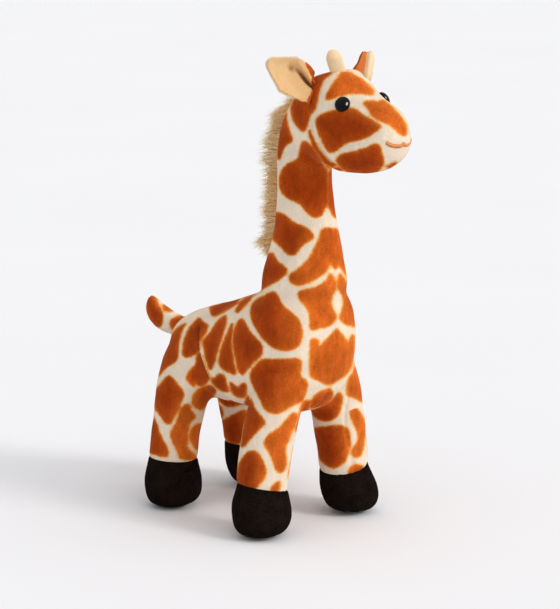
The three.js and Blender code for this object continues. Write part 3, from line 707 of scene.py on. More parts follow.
NECK_PATCHES = {
    "nape top": [(295, 99), (308.3, 103), (309.5, 114), (308.3, 120), (307.5, 124), (305, 130),
                 (302.6, 131), (299.5, 128.7), (295.8, 123.8), (292.6, 117.5), (291.4, 111),
                 (291.6, 106), (293, 102)],
    "nape": [(285.8, 107), (285.8, 115), (286.4, 121), (288.3, 128.8), (290, 133.8), (292, 139.4),
             (291.4, 141.9), (287, 143.8), (284.5, 145.6), (282, 151.3), (280, 158), (278.5, 159),
             (276, 150), (274, 130), (278, 107)],
    "seam sliver": [(309.3, 129.5), (312, 136.3), (314.5, 141.3), (317, 146.3), (320, 151.3),
                    (324.5, 156.9), (328.3, 161.3), (333, 163.8), (336, 165.2), (332, 167),
                    (328.5, 167.5), (325, 163.5), (321, 158), (317, 152.5), (313.5, 147.5),
                    (311.5, 141), (309.5, 134.5)],
    "throat": [(303.3, 141.5), (305, 141.9), (309, 144.5), (313.5, 148.5), (317, 154), (321, 161),
               (323.5, 166.5), (327.5, 171), (327.5, 203), (326.4, 205), (323.3, 211),
               (320.8, 216), (316.5, 217.3), (311.5, 216), (307, 212), (303.5, 207.5), (300, 203),
               (295.8, 201.3), (289.5, 198.8), (284.5, 195), (281.4, 191.3), (280, 186),
               (279.9, 180), (280.8, 173.8), (283.3, 168.8), (287, 165), (293.3, 161.9),
               (298.3, 159.4), (299.5, 155), (300.5, 150), (301.4, 145)],
    "throat left": [(328.5, 171.5), (337, 167.8), (342, 168), (340, 175), (338, 190), (339, 204),
                    (338, 217), (334.5, 217.5), (330.8, 210), (327.5, 204.5)],
    "behind throat": [(277.6, 213.1), (282, 213.8), (285.8, 216.3), (290, 220), (294.5, 223.8),
                      (299.5, 225.6), (305.8, 228.1), (310, 231.3), (312.6, 234.4), (313, 236.9),
                      (312, 239.4), (308.3, 240.6), (304.5, 243.1), (300.8, 246.3), (297, 251.3),
                      (295.8, 253.8), (291.4, 255), (287.6, 253.8), (285, 250.6), (280.8, 246.3),
                      (275.8, 241.9), (272, 238), (272, 212)],
    "neck front": [(321.4, 230.6), (324.5, 228.8), (328.3, 228.1), (332, 229.4), (337, 229),
                   (345, 245), (351, 262), (354, 280), (348, 277.5), (342, 268.8), (338.9, 264.5),
                   (337, 267.5), (334.5, 268.8), (332, 265), (330.5, 262.5), (328.5, 267.5),
                   (325, 272.5), (318.3, 276.9), (312, 280.8), (305.8, 283.3), (299, 285.1),
                   (294, 284), (290.5, 281.5), (288.9, 278), (290, 275), (295.8, 271.3),
                   (302, 266.3), (308.3, 260), (312, 253.8), (315.8, 246.3), (318.9, 240),
                   (320.8, 233.8)],
    "neck root": [(272.6, 253), (273.9, 256.9), (277, 261.9), (280.8, 265), (284.5, 266.9),
                  (286.8, 270), (285.8, 273.1), (282.6, 276.3), (278.3, 280), (273.3, 282.5),
                  (268.3, 285), (262, 289), (255, 295), (248, 292), (258, 268), (266, 255)],
    "chest": [(331, 274.2), (334, 278), (334.8, 284), (335.5, 289), (332, 295), (330.8, 300),
              (331.5, 307), (334, 312), (336, 317), (335, 321), (331, 324), (327, 326.8),
              (320, 327.5), (314, 329.8), (310.5, 329.5), (310.2, 322), (310, 315), (308.5, 310),
              (305, 305), (301, 300.5), (298.5, 296.5), (298.5, 293), (301, 291), (308, 289.5),
              (315, 288), (322, 284.5), (327, 280), (328.5, 276)],
    "chest left": [(339.5, 274), (338, 279), (337, 285), (338, 288), (342, 294), (344, 300),
                   (343.5, 306), (341, 314), (339.8, 318), (342, 321), (346, 324.5), (350, 325),
                   (355, 327), (358, 318), (358, 300), (354, 289), (349.5, 286), (345, 281),
                   (341, 275)],
}
print(len(HEAD_PATCHES) + len(NECK_PATCHES), "patches above the body")

# %% Patch outlines, body and legs
BODY_PATCHES = {
    "shoulder": [(273.3, 291.7), (276.7, 294.5), (279.2, 301), (283.3, 307), (288, 310.5),
                 (293, 314.5), (298, 319), (301, 326), (302.3, 334), (301, 341), (297, 347),
                 (292, 349.5), (283, 350.2), (276, 348.5), (270, 345), (263.3, 338.3),
                 (256.7, 328.3), (252, 320), (250.8, 311.7), (252, 305), (256.7, 300),
                 (266.7, 295)],
    "arm": [(263.3, 359.2), (270, 360), (283.3, 359.7), (299, 358.8), (301, 362), (300.5, 369),
            (299.8, 376), (302, 379), (307, 381.5), (306.5, 388), (304, 397), (302.5, 401),
            (298, 402.5), (290, 406.5), (284, 410.5), (278, 413.3), (271, 413), (266, 410),
            (262, 403), (258, 394), (254, 386.5), (250.8, 380), (251, 373), (254, 368),
            (258.3, 363.3)],
    "shield": [(310.8, 340), (314, 338.8), (318, 340), (318.3, 344), (319, 348), (321, 346.5),
               (324, 342), (329, 338), (332, 334), (335, 331), (336.7, 329), (340, 333),
               (344, 338), (348, 342), (349.2, 346), (350.2, 338), (352, 335), (354, 336),
               (354, 352), (352, 363), (349, 371), (344, 376), (337, 380.5), (331, 384.5),
               (327, 384.2), (320, 381), (310, 376), (310.2, 362), (310.5, 347)],
    "chest side": [(357, 352.5), (362, 352), (366, 380), (366, 402), (360, 401), (356, 398),
                   (351, 396), (347, 395.5), (347, 390), (348, 382), (349, 378), (353, 374),
                   (355, 367), (356, 358)],
    "side rear": [(202.5, 341), (206, 338), (211, 332), (216, 324), (221, 318.5), (225.8, 315),
                  (225.8, 323), (224, 329), (222, 336), (219.5, 344), (216.5, 352), (215, 360),
                  (212, 367), (211, 370), (209, 367), (207, 361), (205.5, 356), (205, 350),
                  (203.5, 345)],
    "side middle": [(232.5, 323), (230.5, 327), (228, 333), (225, 340), (222, 347), (220, 355),
                    (219, 362), (220.5, 366), (225, 370), (230, 372.5), (234, 374.5), (236, 373),
                    (234.5, 367), (232.5, 358), (231, 348), (231, 338), (232, 329)],
    "side front": [(238, 322), (241, 319), (244, 321), (246.5, 326), (250, 333), (255, 338),
                   (262, 346), (262, 354), (257, 359), (252, 363), (248, 368), (244, 373),
                   (242, 374.5), (239.5, 372), (237.5, 365), (235, 355), (233.5, 346),
                   (233.8, 336), (235.5, 327)],
    "back top": [(209, 300), (230, 292), (246, 288), (242.7, 296), (240, 300.8), (233.3, 305.8),
                 (225.8, 310), (217.5, 315), (213, 316), (211, 312.5)],
    "back": [(252, 288), (256, 290), (252, 295.3), (249.2, 300.8), (245, 305), (240.8, 309.2),
             (238, 312.5), (235.8, 311.7), (237.5, 306.7), (240.8, 301.7), (245.8, 298.3)],
    "rump": [(186.5, 323.5), (184, 326), (181.5, 330), (179.5, 338), (178, 346), (177.5, 353),
             (177, 359), (175, 361.5), (170, 364.5), (165, 368), (160, 374), (158.5, 376),
             (157.5, 374), (158.5, 367), (159.5, 358), (162, 351), (166, 343), (171, 336),
             (177, 329), (182, 325.5)],
    "thigh top": [(201, 320), (203, 323), (207, 324.5), (207.8, 326), (205, 333), (201, 338),
                  (199.5, 343), (199.5, 348), (198.5, 351), (196, 353), (191, 356), (186, 357.2),
                  (183.5, 355.5), (182.8, 351), (183.5, 344), (185.5, 337), (189, 329), (195, 322),
                  (199, 318)],
    "flank low": [(196.5, 361), (196.8, 358), (199, 353), (201, 356), (203, 361), (205, 368),
                  (208.5, 375), (209, 378), (207, 382), (203, 385), (198.5, 386), (196.5, 383.5),
                  (195, 382), (194.5, 387), (191, 384), (186.5, 379), (187, 376), (191, 370),
                  (195, 366), (196.8, 364)],
    "inner thigh": [(210, 385.5), (214, 388), (216, 390), (214, 395), (210, 399), (206, 405),
                    (202.5, 409.5), (198, 409), (194, 406), (192.3, 402), (193, 398), (195, 393),
                    (200, 389), (206, 386.5)],
    "thigh": [(168.8, 375.8), (172, 378), (176, 383), (182, 390), (184.2, 395), (182, 399),
              (179.5, 405), (177.5, 412), (174, 416), (171, 422), (168.5, 424), (165, 422.5),
              (163, 419), (160, 414), (155, 408), (152, 403), (151.5, 398), (153, 393), (159, 387),
              (164, 380)],
    "belly": [(217, 375.5), (221, 374.2), (225, 377), (225.5, 382), (227.5, 388), (228.2, 391.5),
              (224, 391.5), (218, 388.5), (213, 383), (211, 378), (215, 379.5)],
    "belly front": [(230, 382), (235, 386), (240, 389), (240.5, 384.5), (246, 383.5), (246, 388),
                    (245, 397), (239, 397), (235, 395), (232, 392), (231, 387)],
}
RIGHT_LEG_PATCHES = {
    "rear low": [(151, 413.5), (154, 419), (157, 425), (158.5, 432), (162, 440), (166, 446),
                 (168.2, 452), (167.5, 456), (162, 456.5), (156, 454), (146, 452), (146, 438),
                 (149, 423)],
    "rear tall": [(188, 404), (190.5, 407), (190.5, 411), (195, 415), (195, 418), (191, 420.5),
                  (189, 424), (187.8, 430), (187.5, 438), (186.8, 447), (189, 450), (194, 454),
                  (197, 459.5), (182, 459), (179.5, 457), (177.5, 450), (173, 442), (171, 436),
                  (171, 432), (175, 426), (178, 420), (180, 411), (183, 406)],
    "rear inner": [(203, 424), (196, 425), (192, 428), (190, 433), (189.5, 438), (192, 443),
                   (196, 449), (201, 452)],
    "front left": [(248.5, 395.5), (251, 400), (254, 408), (258, 414), (263, 419.5), (265, 422.8),
                   (263, 425.5), (258, 430), (253, 435), (248, 441), (244, 446), (241, 447),
                   (242, 437), (243.5, 427), (244.5, 415), (245, 403)],
    "front right": [(293, 413.5), (296.5, 414), (297.5, 417), (296, 422), (293, 428), (290.5, 434),
                    (288, 441), (285, 446), (284.5, 452), (286, 457), (286.2, 462), (285, 468),
                    (282.5, 472), (279, 472.5), (276, 470), (274, 463), (271, 455), (267, 449),
                    (264.2, 444), (265, 441), (268, 436), (273, 432), (280, 428), (285, 422),
                    (290, 416)],
    "front low": [(252, 451.2), (256, 452), (259, 455), (263, 462), (265.5, 469), (265.5, 475),
                  (263, 480), (258, 485), (255, 489), (251, 490), (234, 485), (236, 475),
                  (239, 465), (243, 458), (247, 453)],
    "front small": [(280, 481.5), (279.5, 486), (279, 491), (270, 491), (273, 485.5), (277, 483)],
    "front upper inner": [(303, 401.5), (310, 400.5), (308, 408), (306, 414), (304.5, 420),
                          (302.5, 426), (298, 429), (296, 432), (295, 430), (296, 425), (298, 422),
                          (298.5, 418), (300, 412), (301.5, 405)],
    "front lower inner": [(300, 440), (298, 444), (297, 453), (295, 461), (293, 469), (292, 477),
                          (290, 480), (288.8, 478), (289.5, 472), (292, 461), (293.5, 451),
                          (296, 444)],
}
LEFT_LEG_PATCHES = {
    "far front crotch": [(328, 388.8), (331, 389.5), (332.5, 393), (331, 399), (325, 404),
                         (318, 407), (310.5, 408.5), (310.5, 404), (312, 400), (316, 395),
                         (322, 391.5)],
    "far front top": [(339.5, 392), (342, 397), (341, 405), (339, 412), (336, 417), (330, 420),
                      (323, 420.5), (317, 418), (313, 414), (310.5, 409.8), (318, 408),
                      (325, 405.3), (332, 400.5), (336, 396)],
    "far front middle": [(314.5, 428), (320, 428), (328, 426.8), (338, 426), (345, 427),
                         (348.5, 430), (349.5, 435), (350, 443), (349, 450), (347, 457),
                         (344, 462), (339, 466), (334, 467.8), (328, 466), (323, 462), (319, 457),
                         (317, 450), (315.5, 442), (314, 434)],
    "far front side": [(354.5, 405.5), (358, 410), (362, 416), (365, 422), (365.5, 429),
                       (364.5, 438), (363, 447), (361, 454), (359, 456.5), (354, 457),
                       (352.5, 453), (353, 448), (356, 445), (358, 441), (358.5, 434), (356, 427),
                       (352, 420), (350, 414), (351, 409)],
    "far front low": [(348, 474), (349.5, 469), (353, 465), (359, 465), (364, 467), (366, 471),
                      (363, 474), (351, 476)],
    "far front edge": [(317, 467), (321, 471), (324, 476), (318, 477)],
    "far rear top": [(216.5, 396.5), (229, 397), (238, 399), (246, 400.2), (240, 404),
                     (232, 406.5), (226, 405.5), (221, 402)],
    "far rear small": [(216.5, 403), (221, 407), (223, 413), (222.5, 417), (220, 418),
                       (218.5, 412)],
    "far rear middle": [(246, 410), (240, 412), (234, 415), (229, 418), (224, 420), (221.5, 422.5),
                        (222, 430), (225, 437), (229, 442), (233, 444.2), (239, 443), (241.5, 441),
                        (244, 433), (247, 423)],
    "far rear low": [(224, 446.5), (228, 448), (229.5, 453), (225, 454)],
}
print(len(BODY_PATCHES) + len(RIGHT_LEG_PATCHES) + len(LEFT_LEG_PATCHES), "patches below the neck")

# %% Depth inside a patch
PATCH_REACH = 14.0
PRINT_SPREAD = 0.5
CORNER_CUT = 1.5


def cut_round(outline, rounds=3):
    """Corner cutting: each side gives two points near its ends, never far from the corner."""
    row = np.asarray(outline, dtype=float)
    for k in range(rounds):
        side = np.roll(row, -1, axis=0) - row
        long = np.linalg.norm(side, axis=1, keepdims=True)
        cut = np.minimum(0.25, CORNER_CUT / 2**k / long)
        row = np.stack([row + cut * side, row + (1 - cut) * side], 1).reshape(-1, 2)
    return row


def depth_in(pixels, outline):
    """Distance to the nearest side of an outline, positive inside by the crossing rule."""
    a, b = outline, np.roll(outline, -1, axis=0)
    side = b - a
    away = pixels[:, None] - a
    share = np.clip((away * side).sum(2) / (side * side).sum(1), 0.0, 1.0)
    far = np.sqrt(((away - share[..., None] * side) ** 2).sum(2).min(1))
    x, y = pixels[:, :1], pixels[:, 1:]
    spans = (a[:, 1] > y) != (b[:, 1] > y)
    rise = np.where(np.abs(side[:, 1]) < 1e-9, 1e-9, side[:, 1])
    crossing = a[:, 0] + (y - a[:, 1]) * side[:, 0] / rise
    inside = (spans & (x < crossing)).sum(1) % 2 == 1
    return np.where(inside, far, -far)


def depth_in_patches(points, patches):
    """Millimetres inside the deepest of the patches, as seen in the picture."""
    pixels, depth = in_photo(points)
    best = np.full(len(points), -PATCH_REACH)
    for outline in patches.values():
        row = cut_round(outline)
        near = ((pixels > row.min(0) - PATCH_REACH) & (pixels < row.max(0) + PATCH_REACH)).all(1)
        if near.any():
            best[near] = np.maximum(best[near], depth_in(pixels[near], row) + PRINT_SPREAD)
    return best * depth / FOCAL_PX / MM


print("corner cutting makes", len(cut_round(HEAD_PATCHES["cheek"])), "points of one outline")

# %% [markdown]
# ## Patches where the picture can't see
#
# The print goes on round the back, under the belly and on the far side. A far point whose mirror
# image can be seen takes the pattern of that image. Everywhere else we sow seeds at an even
# distance, and each seed owns the cloth nearest to it: the half difference between the distances
# to the two nearest seeds is the depth inside such a cell. Where two kinds of pattern meet, the
# seen patches end round, and the others keep a cream lane away from them. Cells are angular and
# folded patches can be ragged, so what the picture can't see is blurred until it is round.

# %% Cells
SEED_STEP = 31.0 * MM
LANE = 1.9


def spread_seeds(points, step):
    """Farthest-point seeds: each new seed is the point farthest from all seeds so far."""
    seeds = [points[0]]
    far = np.linalg.norm(points - seeds[0], axis=1)
    while far.max() > step:
        seeds.append(points[far.argmax()])
        far = np.minimum(far, np.linalg.norm(points - seeds[-1], axis=1))
    return np.array(seeds)


def cell_depth(points, seeds):
    """Half the difference of the distances to the two nearest seeds, less the lane, in mm."""
    depth = np.empty(len(points))
    for start in range(0, len(points), BLOCK):
        part = slice(start, start + BLOCK)
        far = np.linalg.norm(points[part][:, None] - seeds, axis=2)
        two = np.partition(far, 1, axis=1)[:, :2]
        depth[part] = (two[:, 1] - two[:, 0]) / 2 / MM - LANE
    return depth


print("cells", round(SEED_STEP / MM), "mm apart")

# %% Meeting of patterns
LANE_KEPT = 4.2


def reach_of(points, edge_points, edge_depth):
    """The most that the depth at a border point, less the way from it, still gives, in mm."""
    reach = np.empty(len(points))
    for start in range(0, len(points), BLOCK // 2):
        part = slice(start, start + BLOCK // 2)
        away = np.sqrt(np.maximum(squares_between(points[part], edge_points), 0.0)) / MM
        reach[part] = (edge_depth - away).max(1)
    return reach


def carried_on(points, edges, depth, known):
    """Depth outside the known area, where patches of the known area end round and keep a lane."""
    crossing = known[edges[:, 0]] != known[edges[:, 1]]
    border = np.unique(edges[crossing])
    border = border[known[border]]
    rest = ~known
    if len(border) == 0 or not rest.any():
        return depth
    reach = reach_of(points[rest], points[border], depth[border])
    joined = depth.copy()
    joined[rest] = np.maximum(reach, np.minimum(depth[rest], -reach - LANE_KEPT))
    return joined


print("a lane of", LANE_KEPT, "mm between two kinds of pattern")

# %% Print of a piece
NEAR_PATCHES = {**HEAD_PATCHES, **NECK_PATCHES, **BODY_PATCHES, **RIGHT_LEG_PATCHES,
                "far front crotch": LEFT_LEG_PATCHES["far front crotch"],
                "far front top": LEFT_LEG_PATCHES["far front top"]}
FAR_PATCHES = {**LEFT_LEG_PATCHES, "chest side": BODY_PATCHES["chest side"],
               "shield": BODY_PATCHES["shield"]}
LEG_TOP = 0.092
MIRROR = np.array([-1.0, 1.0, 1.0])
FACING_LEAST = 0.13
CELL_ROUNDS = 8
PRINT_ROUNDS = 2
SEEN_ROUNDS = 12
CALM_ROUNDS = 22
CALM_DEPTH = 6.0


def seen_depth(points, normals):
    """Depth by the picture, and whether the picture sees the point: its facing is large enough."""
    facing = (normals * unit(CAMERA_AT - points)).sum(1)
    far_leg = (points[:, 0] > 0.0) & (points[:, 2] < LEG_TOP)
    depth = np.where(far_leg, depth_in_patches(points, FAR_PATCHES),
                     depth_in_patches(points, NEAR_PATCHES))
    return depth, facing > FACING_LEAST


def print_pattern(piece, step):
    """Depth where the picture sees, else the mirror point's, else cells; joined and blurred."""
    mesh = piece.data
    points, normals, edges = points_of(mesh), normals_of(mesh), edges_of(mesh)
    direct, seen = seen_depth(points, normals)
    image, image_seen = seen_depth(points * MIRROR, normals * MIRROR)
    hidden = ~(seen | image_seen)
    seeds = spread_seeds(points[hidden], step)
    cells = np.full(len(points), -PATCH_REACH)
    cells[hidden] = cell_depth(points[hidden], seeds)
    cells = blurred(cells, edges, CELL_ROUNDS)
    depth = np.where(seen, direct, np.where(image_seen, image, cells))
    depth = carried_on(points, edges, depth, seen | image_seen)
    depth = carried_on(points, edges, depth, seen)
    calm = blurred(np.clip(depth, -CALM_DEPTH, CALM_DEPTH), edges, CALM_ROUNDS)
    plain = blurred(seen.astype(float), edges, SEEN_ROUNDS)
    depth = plain * blurred(depth, edges, PRINT_ROUNDS) + (1.0 - plain) * calm
    set_number(piece, "patch_mm", depth)
    print(piece.name, "pattern:", int(seen.sum()), "seen,", len(seeds), "seeds where hidden")


print_pattern(cover, SEED_STEP)

# %% [markdown]
# ## Painted light on the pile, and painted shade in its creases
#
# Each point keeps a second number, nap, which paints light: it is 1 where the cloth faces
# forwards and up, towards the main light, and 0 where it faces sideways or down, and it is
# brought down under the chin, where the head shades the throat. Where nap is 1 the print's brown
# is lighter and more orange. A third number, fold, paints shade: it is 1 in the crease of the
# thigh and under the jaw, where shade falls and the cloth looks darkest.

# %% Painted light on the pile
LIGHT_WAY = np.array([0.0, -0.88, 0.47])
LIGHT_LOW = 0.2
LIGHT_HIGH = 0.85
THROAT_HIGH = 0.266
THROAT_REACH = 0.03
THROAT_BEHIND = -0.088
THROAT_SHADE_SHARE = 0.9
LIGHT_ROUNDS = 6


def keep_painted_light(piece):
    """Painted light: the share of the normal along the way towards the main light, eased from low
    to high, lowered where the head shades the throat, and blurred.
    """
    share = np.clip((normals_of(piece.data) @ LIGHT_WAY - LIGHT_LOW) / (LIGHT_HIGH - LIGHT_LOW), 0.0, 1.0)
    eased = share * share * (3.0 - 2.0 * share)
    points = points_of(piece.data)
    # Painted shade: the head shades the throat, so nap is brought down there.
    in_shade = bell(points[:, 2] - THROAT_HIGH, THROAT_REACH)
    eased = eased * (1.0 - THROAT_SHADE_SHARE * in_shade * (points[:, 1] > THROAT_BEHIND))
    set_number(piece, "nap", blurred(eased, edges_of(piece.data), LIGHT_ROUNDS))


# nap is painted light, strongest where the cloth faces the main light.
keep_painted_light(cover)
print("nap kept")

# %% Painted shade in folds
FOLD_RISE = 3.6 * MM
FOLD_EDGE = 0.5 * MM
JAW_WIDE = 1.7 * MM
JAW_SHADE_SHARE = 0.6
JAW_HIGH = 0.318
JAW_FADE = 0.02


def keep_painted_shade(piece):
    """Attribute fold, painted shade: exp(-s / rise) at s behind the crease, and a bell at the
    jaw's seam.
    """
    points = points_of(piece.data)
    side, share = behind_crease(points)
    # Painted shade: darkest in the crease and fading over the thigh behind it, with a band under
    # the jaw.
    crease = np.where(side > 0.0, np.exp(-side / FOLD_RISE), bell(side, FOLD_EDGE)) * share
    far, which = nearest(to_right(points), seam_points["head"])
    low = np.clip((JAW_HIGH - seam_points["head"][which, 2]) / JAW_FADE, 0.0, 1.0)
    set_number(piece, "fold", np.maximum(crease, JAW_SHADE_SHARE * low * bell(far, JAW_WIDE)))


keep_painted_shade(cover)
print("folds kept")

# %% [markdown]
# ## A material from a few nodes
#
# Each finish below is a graph of nodes on one shader. A short helper adds a node, sets its
# values and links its inputs, so that a graph reads as a list. The noises use Object
# coordinates, in metres, so a scale of 1000 means a grain of about a millimetre. Most values of
# a noise lie between 0.3 and 0.7, so that range is carried to the one that a finish needs.

# %% Material helpers
NOISE_LOW = 0.3
NOISE_HIGH = 0.7


def color(text):
    """A screen colour such as C45A22 as the linear red, green and blue that a shader uses."""
    screen = np.array([int(text[k:k + 2], 16) / 255 for k in (0, 2, 4)])
    linear = np.where(screen <= 0.04045, screen / 12.92, ((screen + 0.055) / 1.055) ** 2.4)
    return (*linear.tolist(), 1.0)


class Graph:
    """The node graph of one material, with its shader and its noises."""

    def __init__(self, name):
        self.material = bpy.data.materials.new(name)
        self.material.use_nodes = True
        self.nodes = self.material.node_tree.nodes
        self.links = self.material.node_tree.links
        self.shader = self.nodes["Principled BSDF"]
        self.place = self.add("ShaderNodeTexCoord").outputs["Object"]

    def feed(self, socket, value):
        """Links an output to a socket, or gives the socket a plain value."""
        if isinstance(value, bpy.types.NodeSocket):
            self.links.new(value, socket)
        else:
            socket.default_value = value

    def add(self, kind, inputs=None, **settings):
        """A node with its settings; an input is a value or the output it is linked to."""
        node = self.nodes.new(kind)
        for key, value in settings.items():
            setattr(node, key, value)
        for key, value in (inputs or {}).items():
            self.feed(node.inputs[key], value)
        return node

    def kept(self, name):
        """The number that a piece keeps at its points under a name."""
        return self.add("ShaderNodeAttribute", attribute_name=name).outputs["Fac"]

    def noise(self, scale, detail=2.0, stretch=None):
        """A noise of a given scale, drawn out along an axis where a stretch is given."""
        place = self.place
        if stretch:
            place = self.add("ShaderNodeMapping", {"Vector": place, "Scale": stretch}).outputs[0]
        inputs = {"Vector": place, "Scale": scale, "Detail": detail}
        return self.add("ShaderNodeTexNoise", inputs).outputs["Fac"]

    def varied(self, scale, detail, to_low=0.0, to_high=1.0, stretch=None):
        """A noise carried from its usual range to another."""
        noise = self.noise(scale, detail, stretch)
        return self.spread(noise, NOISE_LOW, NOISE_HIGH, to_low, to_high)

    def math(self, operation, a, b):
        """One step of arithmetic."""
        return self.add("ShaderNodeMath", {0: a, 1: b}, operation=operation).outputs[0]

    def spread(self, value, low, high, to_low=0.0, to_high=1.0):
        """A value carried from one range to another."""
        inputs = {"Value": value, "From Min": low, "From Max": high, "To Min": to_low,
                  "To Max": to_high}
        return self.add("ShaderNodeMapRange", inputs).outputs["Result"]

    def ramp(self, value, stops):
        """Colours at places between 0 and 1, blended in between."""
        node = self.add("ShaderNodeValToRGB", {"Fac": value})
        bar = node.color_ramp.elements
        while len(bar) < len(stops):
            bar.new(0.5)
        for element, (at, text) in zip(bar, stops):
            element.position = at
            element.color = color(text)
        return node.outputs["Color"]

    def mix(self, share, a, b, blend="MIX"):
        """Two colours mixed by a share."""
        inputs = {0: share, 6: a, 7: b}
        return self.add("ShaderNodeMix", inputs, data_type="RGBA", blend_type=blend).outputs[2]

    def bump(self, height, strength, far, below=None):
        """Turns a height into a bent normal."""
        inputs = {"Height": height, "Strength": strength, "Distance": far}
        if below is not None:
            inputs["Normal"] = below
        return self.add("ShaderNodeBump", inputs).outputs["Normal"]

    def finish(self, base, roughness, normal=None, **sockets):
        """Links colour, roughness and normal, and sets the shader's other sockets directly."""
        for key, value in (("Base Color", base), ("Roughness", roughness), ("Normal", normal)):
            if value is not None:
                self.feed(self.shader.inputs[key], value)
        for key, value in sockets.items():
            self.shader.inputs[key.replace("_", " ")].default_value = value
        return self.material


def dress(piece, material, slot, body, *nodes):
    """Gives a piece its material, the body it rides on and the nodes it stands for; slot is not
    used.
    """
    piece.data.materials.clear()
    piece.data.materials.append(material)
    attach(piece, body)
    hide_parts(*nodes)


print("graph helper ready")

# %% [markdown]
# ## Printed plush
#
# The cloth is a short-pile plush. Its print is the number patch_mm made into colour: cream
# below zero, a light orange fringe at the edge, and brown inside. A fine noise is added to the
# number first, because each fibre carries the colour of its root and leans over the border. The
# pile itself is a bump of two grains with sheen on top, and the brown is mottled where the pile
# has been brushed in different directions. The print comes in two copies, a darker one in painted
# shade and a lighter, more orange one in painted light, mixed by nap. Where fold is high, painted
# shade takes the colour close to a deep brown.

# %% Printed plush
FIBRE_LEANS = 0.36
FOLD_SHADE = 0.8


def printed_plush():
    """Cream, fringe and brown by depth in a patch, in a painted-shade and a painted-light copy
    mixed by nap, with painted shade in creases, mottling, pile and sheen.
    """
    g = Graph("printed plush")
    depth = g.kept("patch_mm")
    nap = g.kept("nap")
    fibre = g.varied(1300, 2, -FIBRE_LEANS, FIBRE_LEANS)
    drift = g.varied(300, 2, -0.3, 0.3)
    edge = g.math("ADD", depth, g.math("ADD", fibre, drift))
    at = g.spread(edge, -2.0, 8.0)
    # flat is the print in painted shade; the ramp after it is the same print in painted light.
    flat = g.ramp(at, [(0.0, "EEDDC8"), (0.06, "EED6B8"), (0.13, "EBB26C"), (0.19, "D4742A"),
                       (0.27, "BC5115"), (0.45, "AE4512"), (1.0, "9F3B0F")])
    lit_print = g.ramp(at, [(0.0, "EEDBC4"), (0.06, "EFD5B4"), (0.13, "F0B870"), (0.19, "EE9244"),
                         (0.27, "DB7127"), (0.45, "D36622"), (1.0, "C95D1E")])
    # nap is painted light: where the cloth faces the main light, the lighter copy wins.
    printed = g.mix(nap, flat, lit_print)
    cloud = g.varied(42, 3, 0.8, 1.16)
    brushed = g.varied(230, 3, 0.86, 1.11, (1.0, 1.0, 0.5))
    grain = g.spread(g.noise(760, 2), 0.28, 0.72, 0.82, 1.14)
    tone = g.math("MULTIPLY", g.math("MULTIPLY", cloud, brushed), grain)
    shade = g.add("ShaderNodeCombineColor", {"Red": tone, "Green": tone, "Blue": tone}).outputs[0]
    toned = g.mix(1.0, printed, shade, "MULTIPLY")
    # fold is painted shade: in the thigh's crease and under the jaw the colour goes towards deep
    # brown.
    fold = g.kept("fold")
    calm = g.mix(g.spread(at, 0.1, 0.3, 0.35, 1.0), printed, toned)
    calm = g.mix(g.math("MULTIPLY", fold, FOLD_SHADE), calm, color("461906"))
    pile = g.bump(g.noise(1100, 3), 0.7, 0.0007)
    soft = g.bump(g.noise(170, 2), 0.4, 0.0012, pile)
    return g.finish(calm, 0.95, soft, Sheen_Weight=0.16, Sheen_Roughness=0.45,
                    Sheen_Tint=color("F0BE8C"), Specular_IOR_Level=0.0)


plush = printed_plush()
dress(cover, plush, "printed_plush", "toy", "body", "neck", "head", *LEGS)
print("cover dressed in", plush.name)

# %% [markdown]
# ## The tail
#
# The tail is a small stuffed form on a round root. It is made like the cover, on its own,
# because it turns at its root. The print goes on across it.

# %% Tail
TAIL_VOXEL = 2.2 * MM
TAIL_SHRINKS = 0.5 * MM
TAIL_SWELLS = 1.2 * MM
TAIL_SEEDS = 20.0 * MM
TAIL_PATCHES = {
    "tail tip": [(147, 296), (150, 295.5), (155.8, 297.5), (157.5, 303.3), (161.7, 311.7),
                 (162.5, 318.3), (160.8, 326.5), (155, 326.5), (149, 322.5), (146, 308)],
    "tail small": [(162.5, 305.8), (166.7, 303), (175, 309), (171.7, 311), (164.2, 311)],
    "tail root": [(170.8, 320.8), (175, 317.5), (183.3, 315), (188, 318), (177.5, 323.3),
                  (171.7, 330), (170.3, 325)],
}
NEAR_PATCHES.update(TAIL_PATCHES)
tail = remeshed("tail_cover", ["tail"], TAIL_VOXEL, 0.0, TAIL_SHRINKS)
stuff(tail, TAIL_SWELLS)
subdivided(tail, 1)
print_pattern(tail, TAIL_SEEDS)
keep_painted_light(tail)
dress(tail, plush, "printed_plush", "tail", "tail")
print("tail of", len(tail.data.polygons), "faces")

# %% [markdown]
# ## Hooves
#
# The hooves are dark brown, nearly black velvet, with flat soles. Velvet is darkest where we look
# straight at it and lighter along its edges, which the sheen of the shader gives.

# %% Hooves


def hoof_velvet():
    """Near-black brown with a brushed grain and a faint, rough sheen."""
    g = Graph("hoof velvet")
    nap = g.varied(900, 3)
    brushed = g.spread(g.noise(95, 3), 0.35, 0.65)
    dark = g.mix(brushed, color("080504"), color("17110E"))
    flecked = g.mix(g.math("MULTIPLY", nap, 0.5), dark, color("2B221D"))
    pile = g.bump(g.noise(1400, 3), 0.5, 0.0004)
    soft = g.bump(g.noise(140, 2), 0.3, 0.001, pile)
    return g.finish(flecked, 0.9, soft, Sheen_Weight=0.05, Sheen_Roughness=0.35,
                    Sheen_Tint=color("8A7A70"), Specular_IOR_Level=0.0)


velvet = hoof_velvet()
for node, hoof in hoof_pieces.items():
    dress(hoof, velvet, "hoof_velvet", "toy", node)
print(len(hoof_pieces), "hooves of", len(hoof.data.polygons), "faces")

# %% [markdown]
# ## Ears and horns
#
# An ear is two leaves: the printed outside and a plain tan lining. They are thin, so a fine
# remesh keeps their walls. Sewing has drawn the real leaf out of its even oval: its top is flat,
# its lower corner hangs down, and a fold runs from its root into the cup. The leaf's outline in
# the picture and the fold's row of pixels bring this in, and the upper end of the root is sewn
# down flat on the head. The left ear is seen nearly edge-on there, with its printed edge turned
# over, and has its own outline. The horns are tan stubs, softly stuffed and slimmer than their
# forms, with a foot drawn into the head, and the left one leans a little.

# %% Tan plush


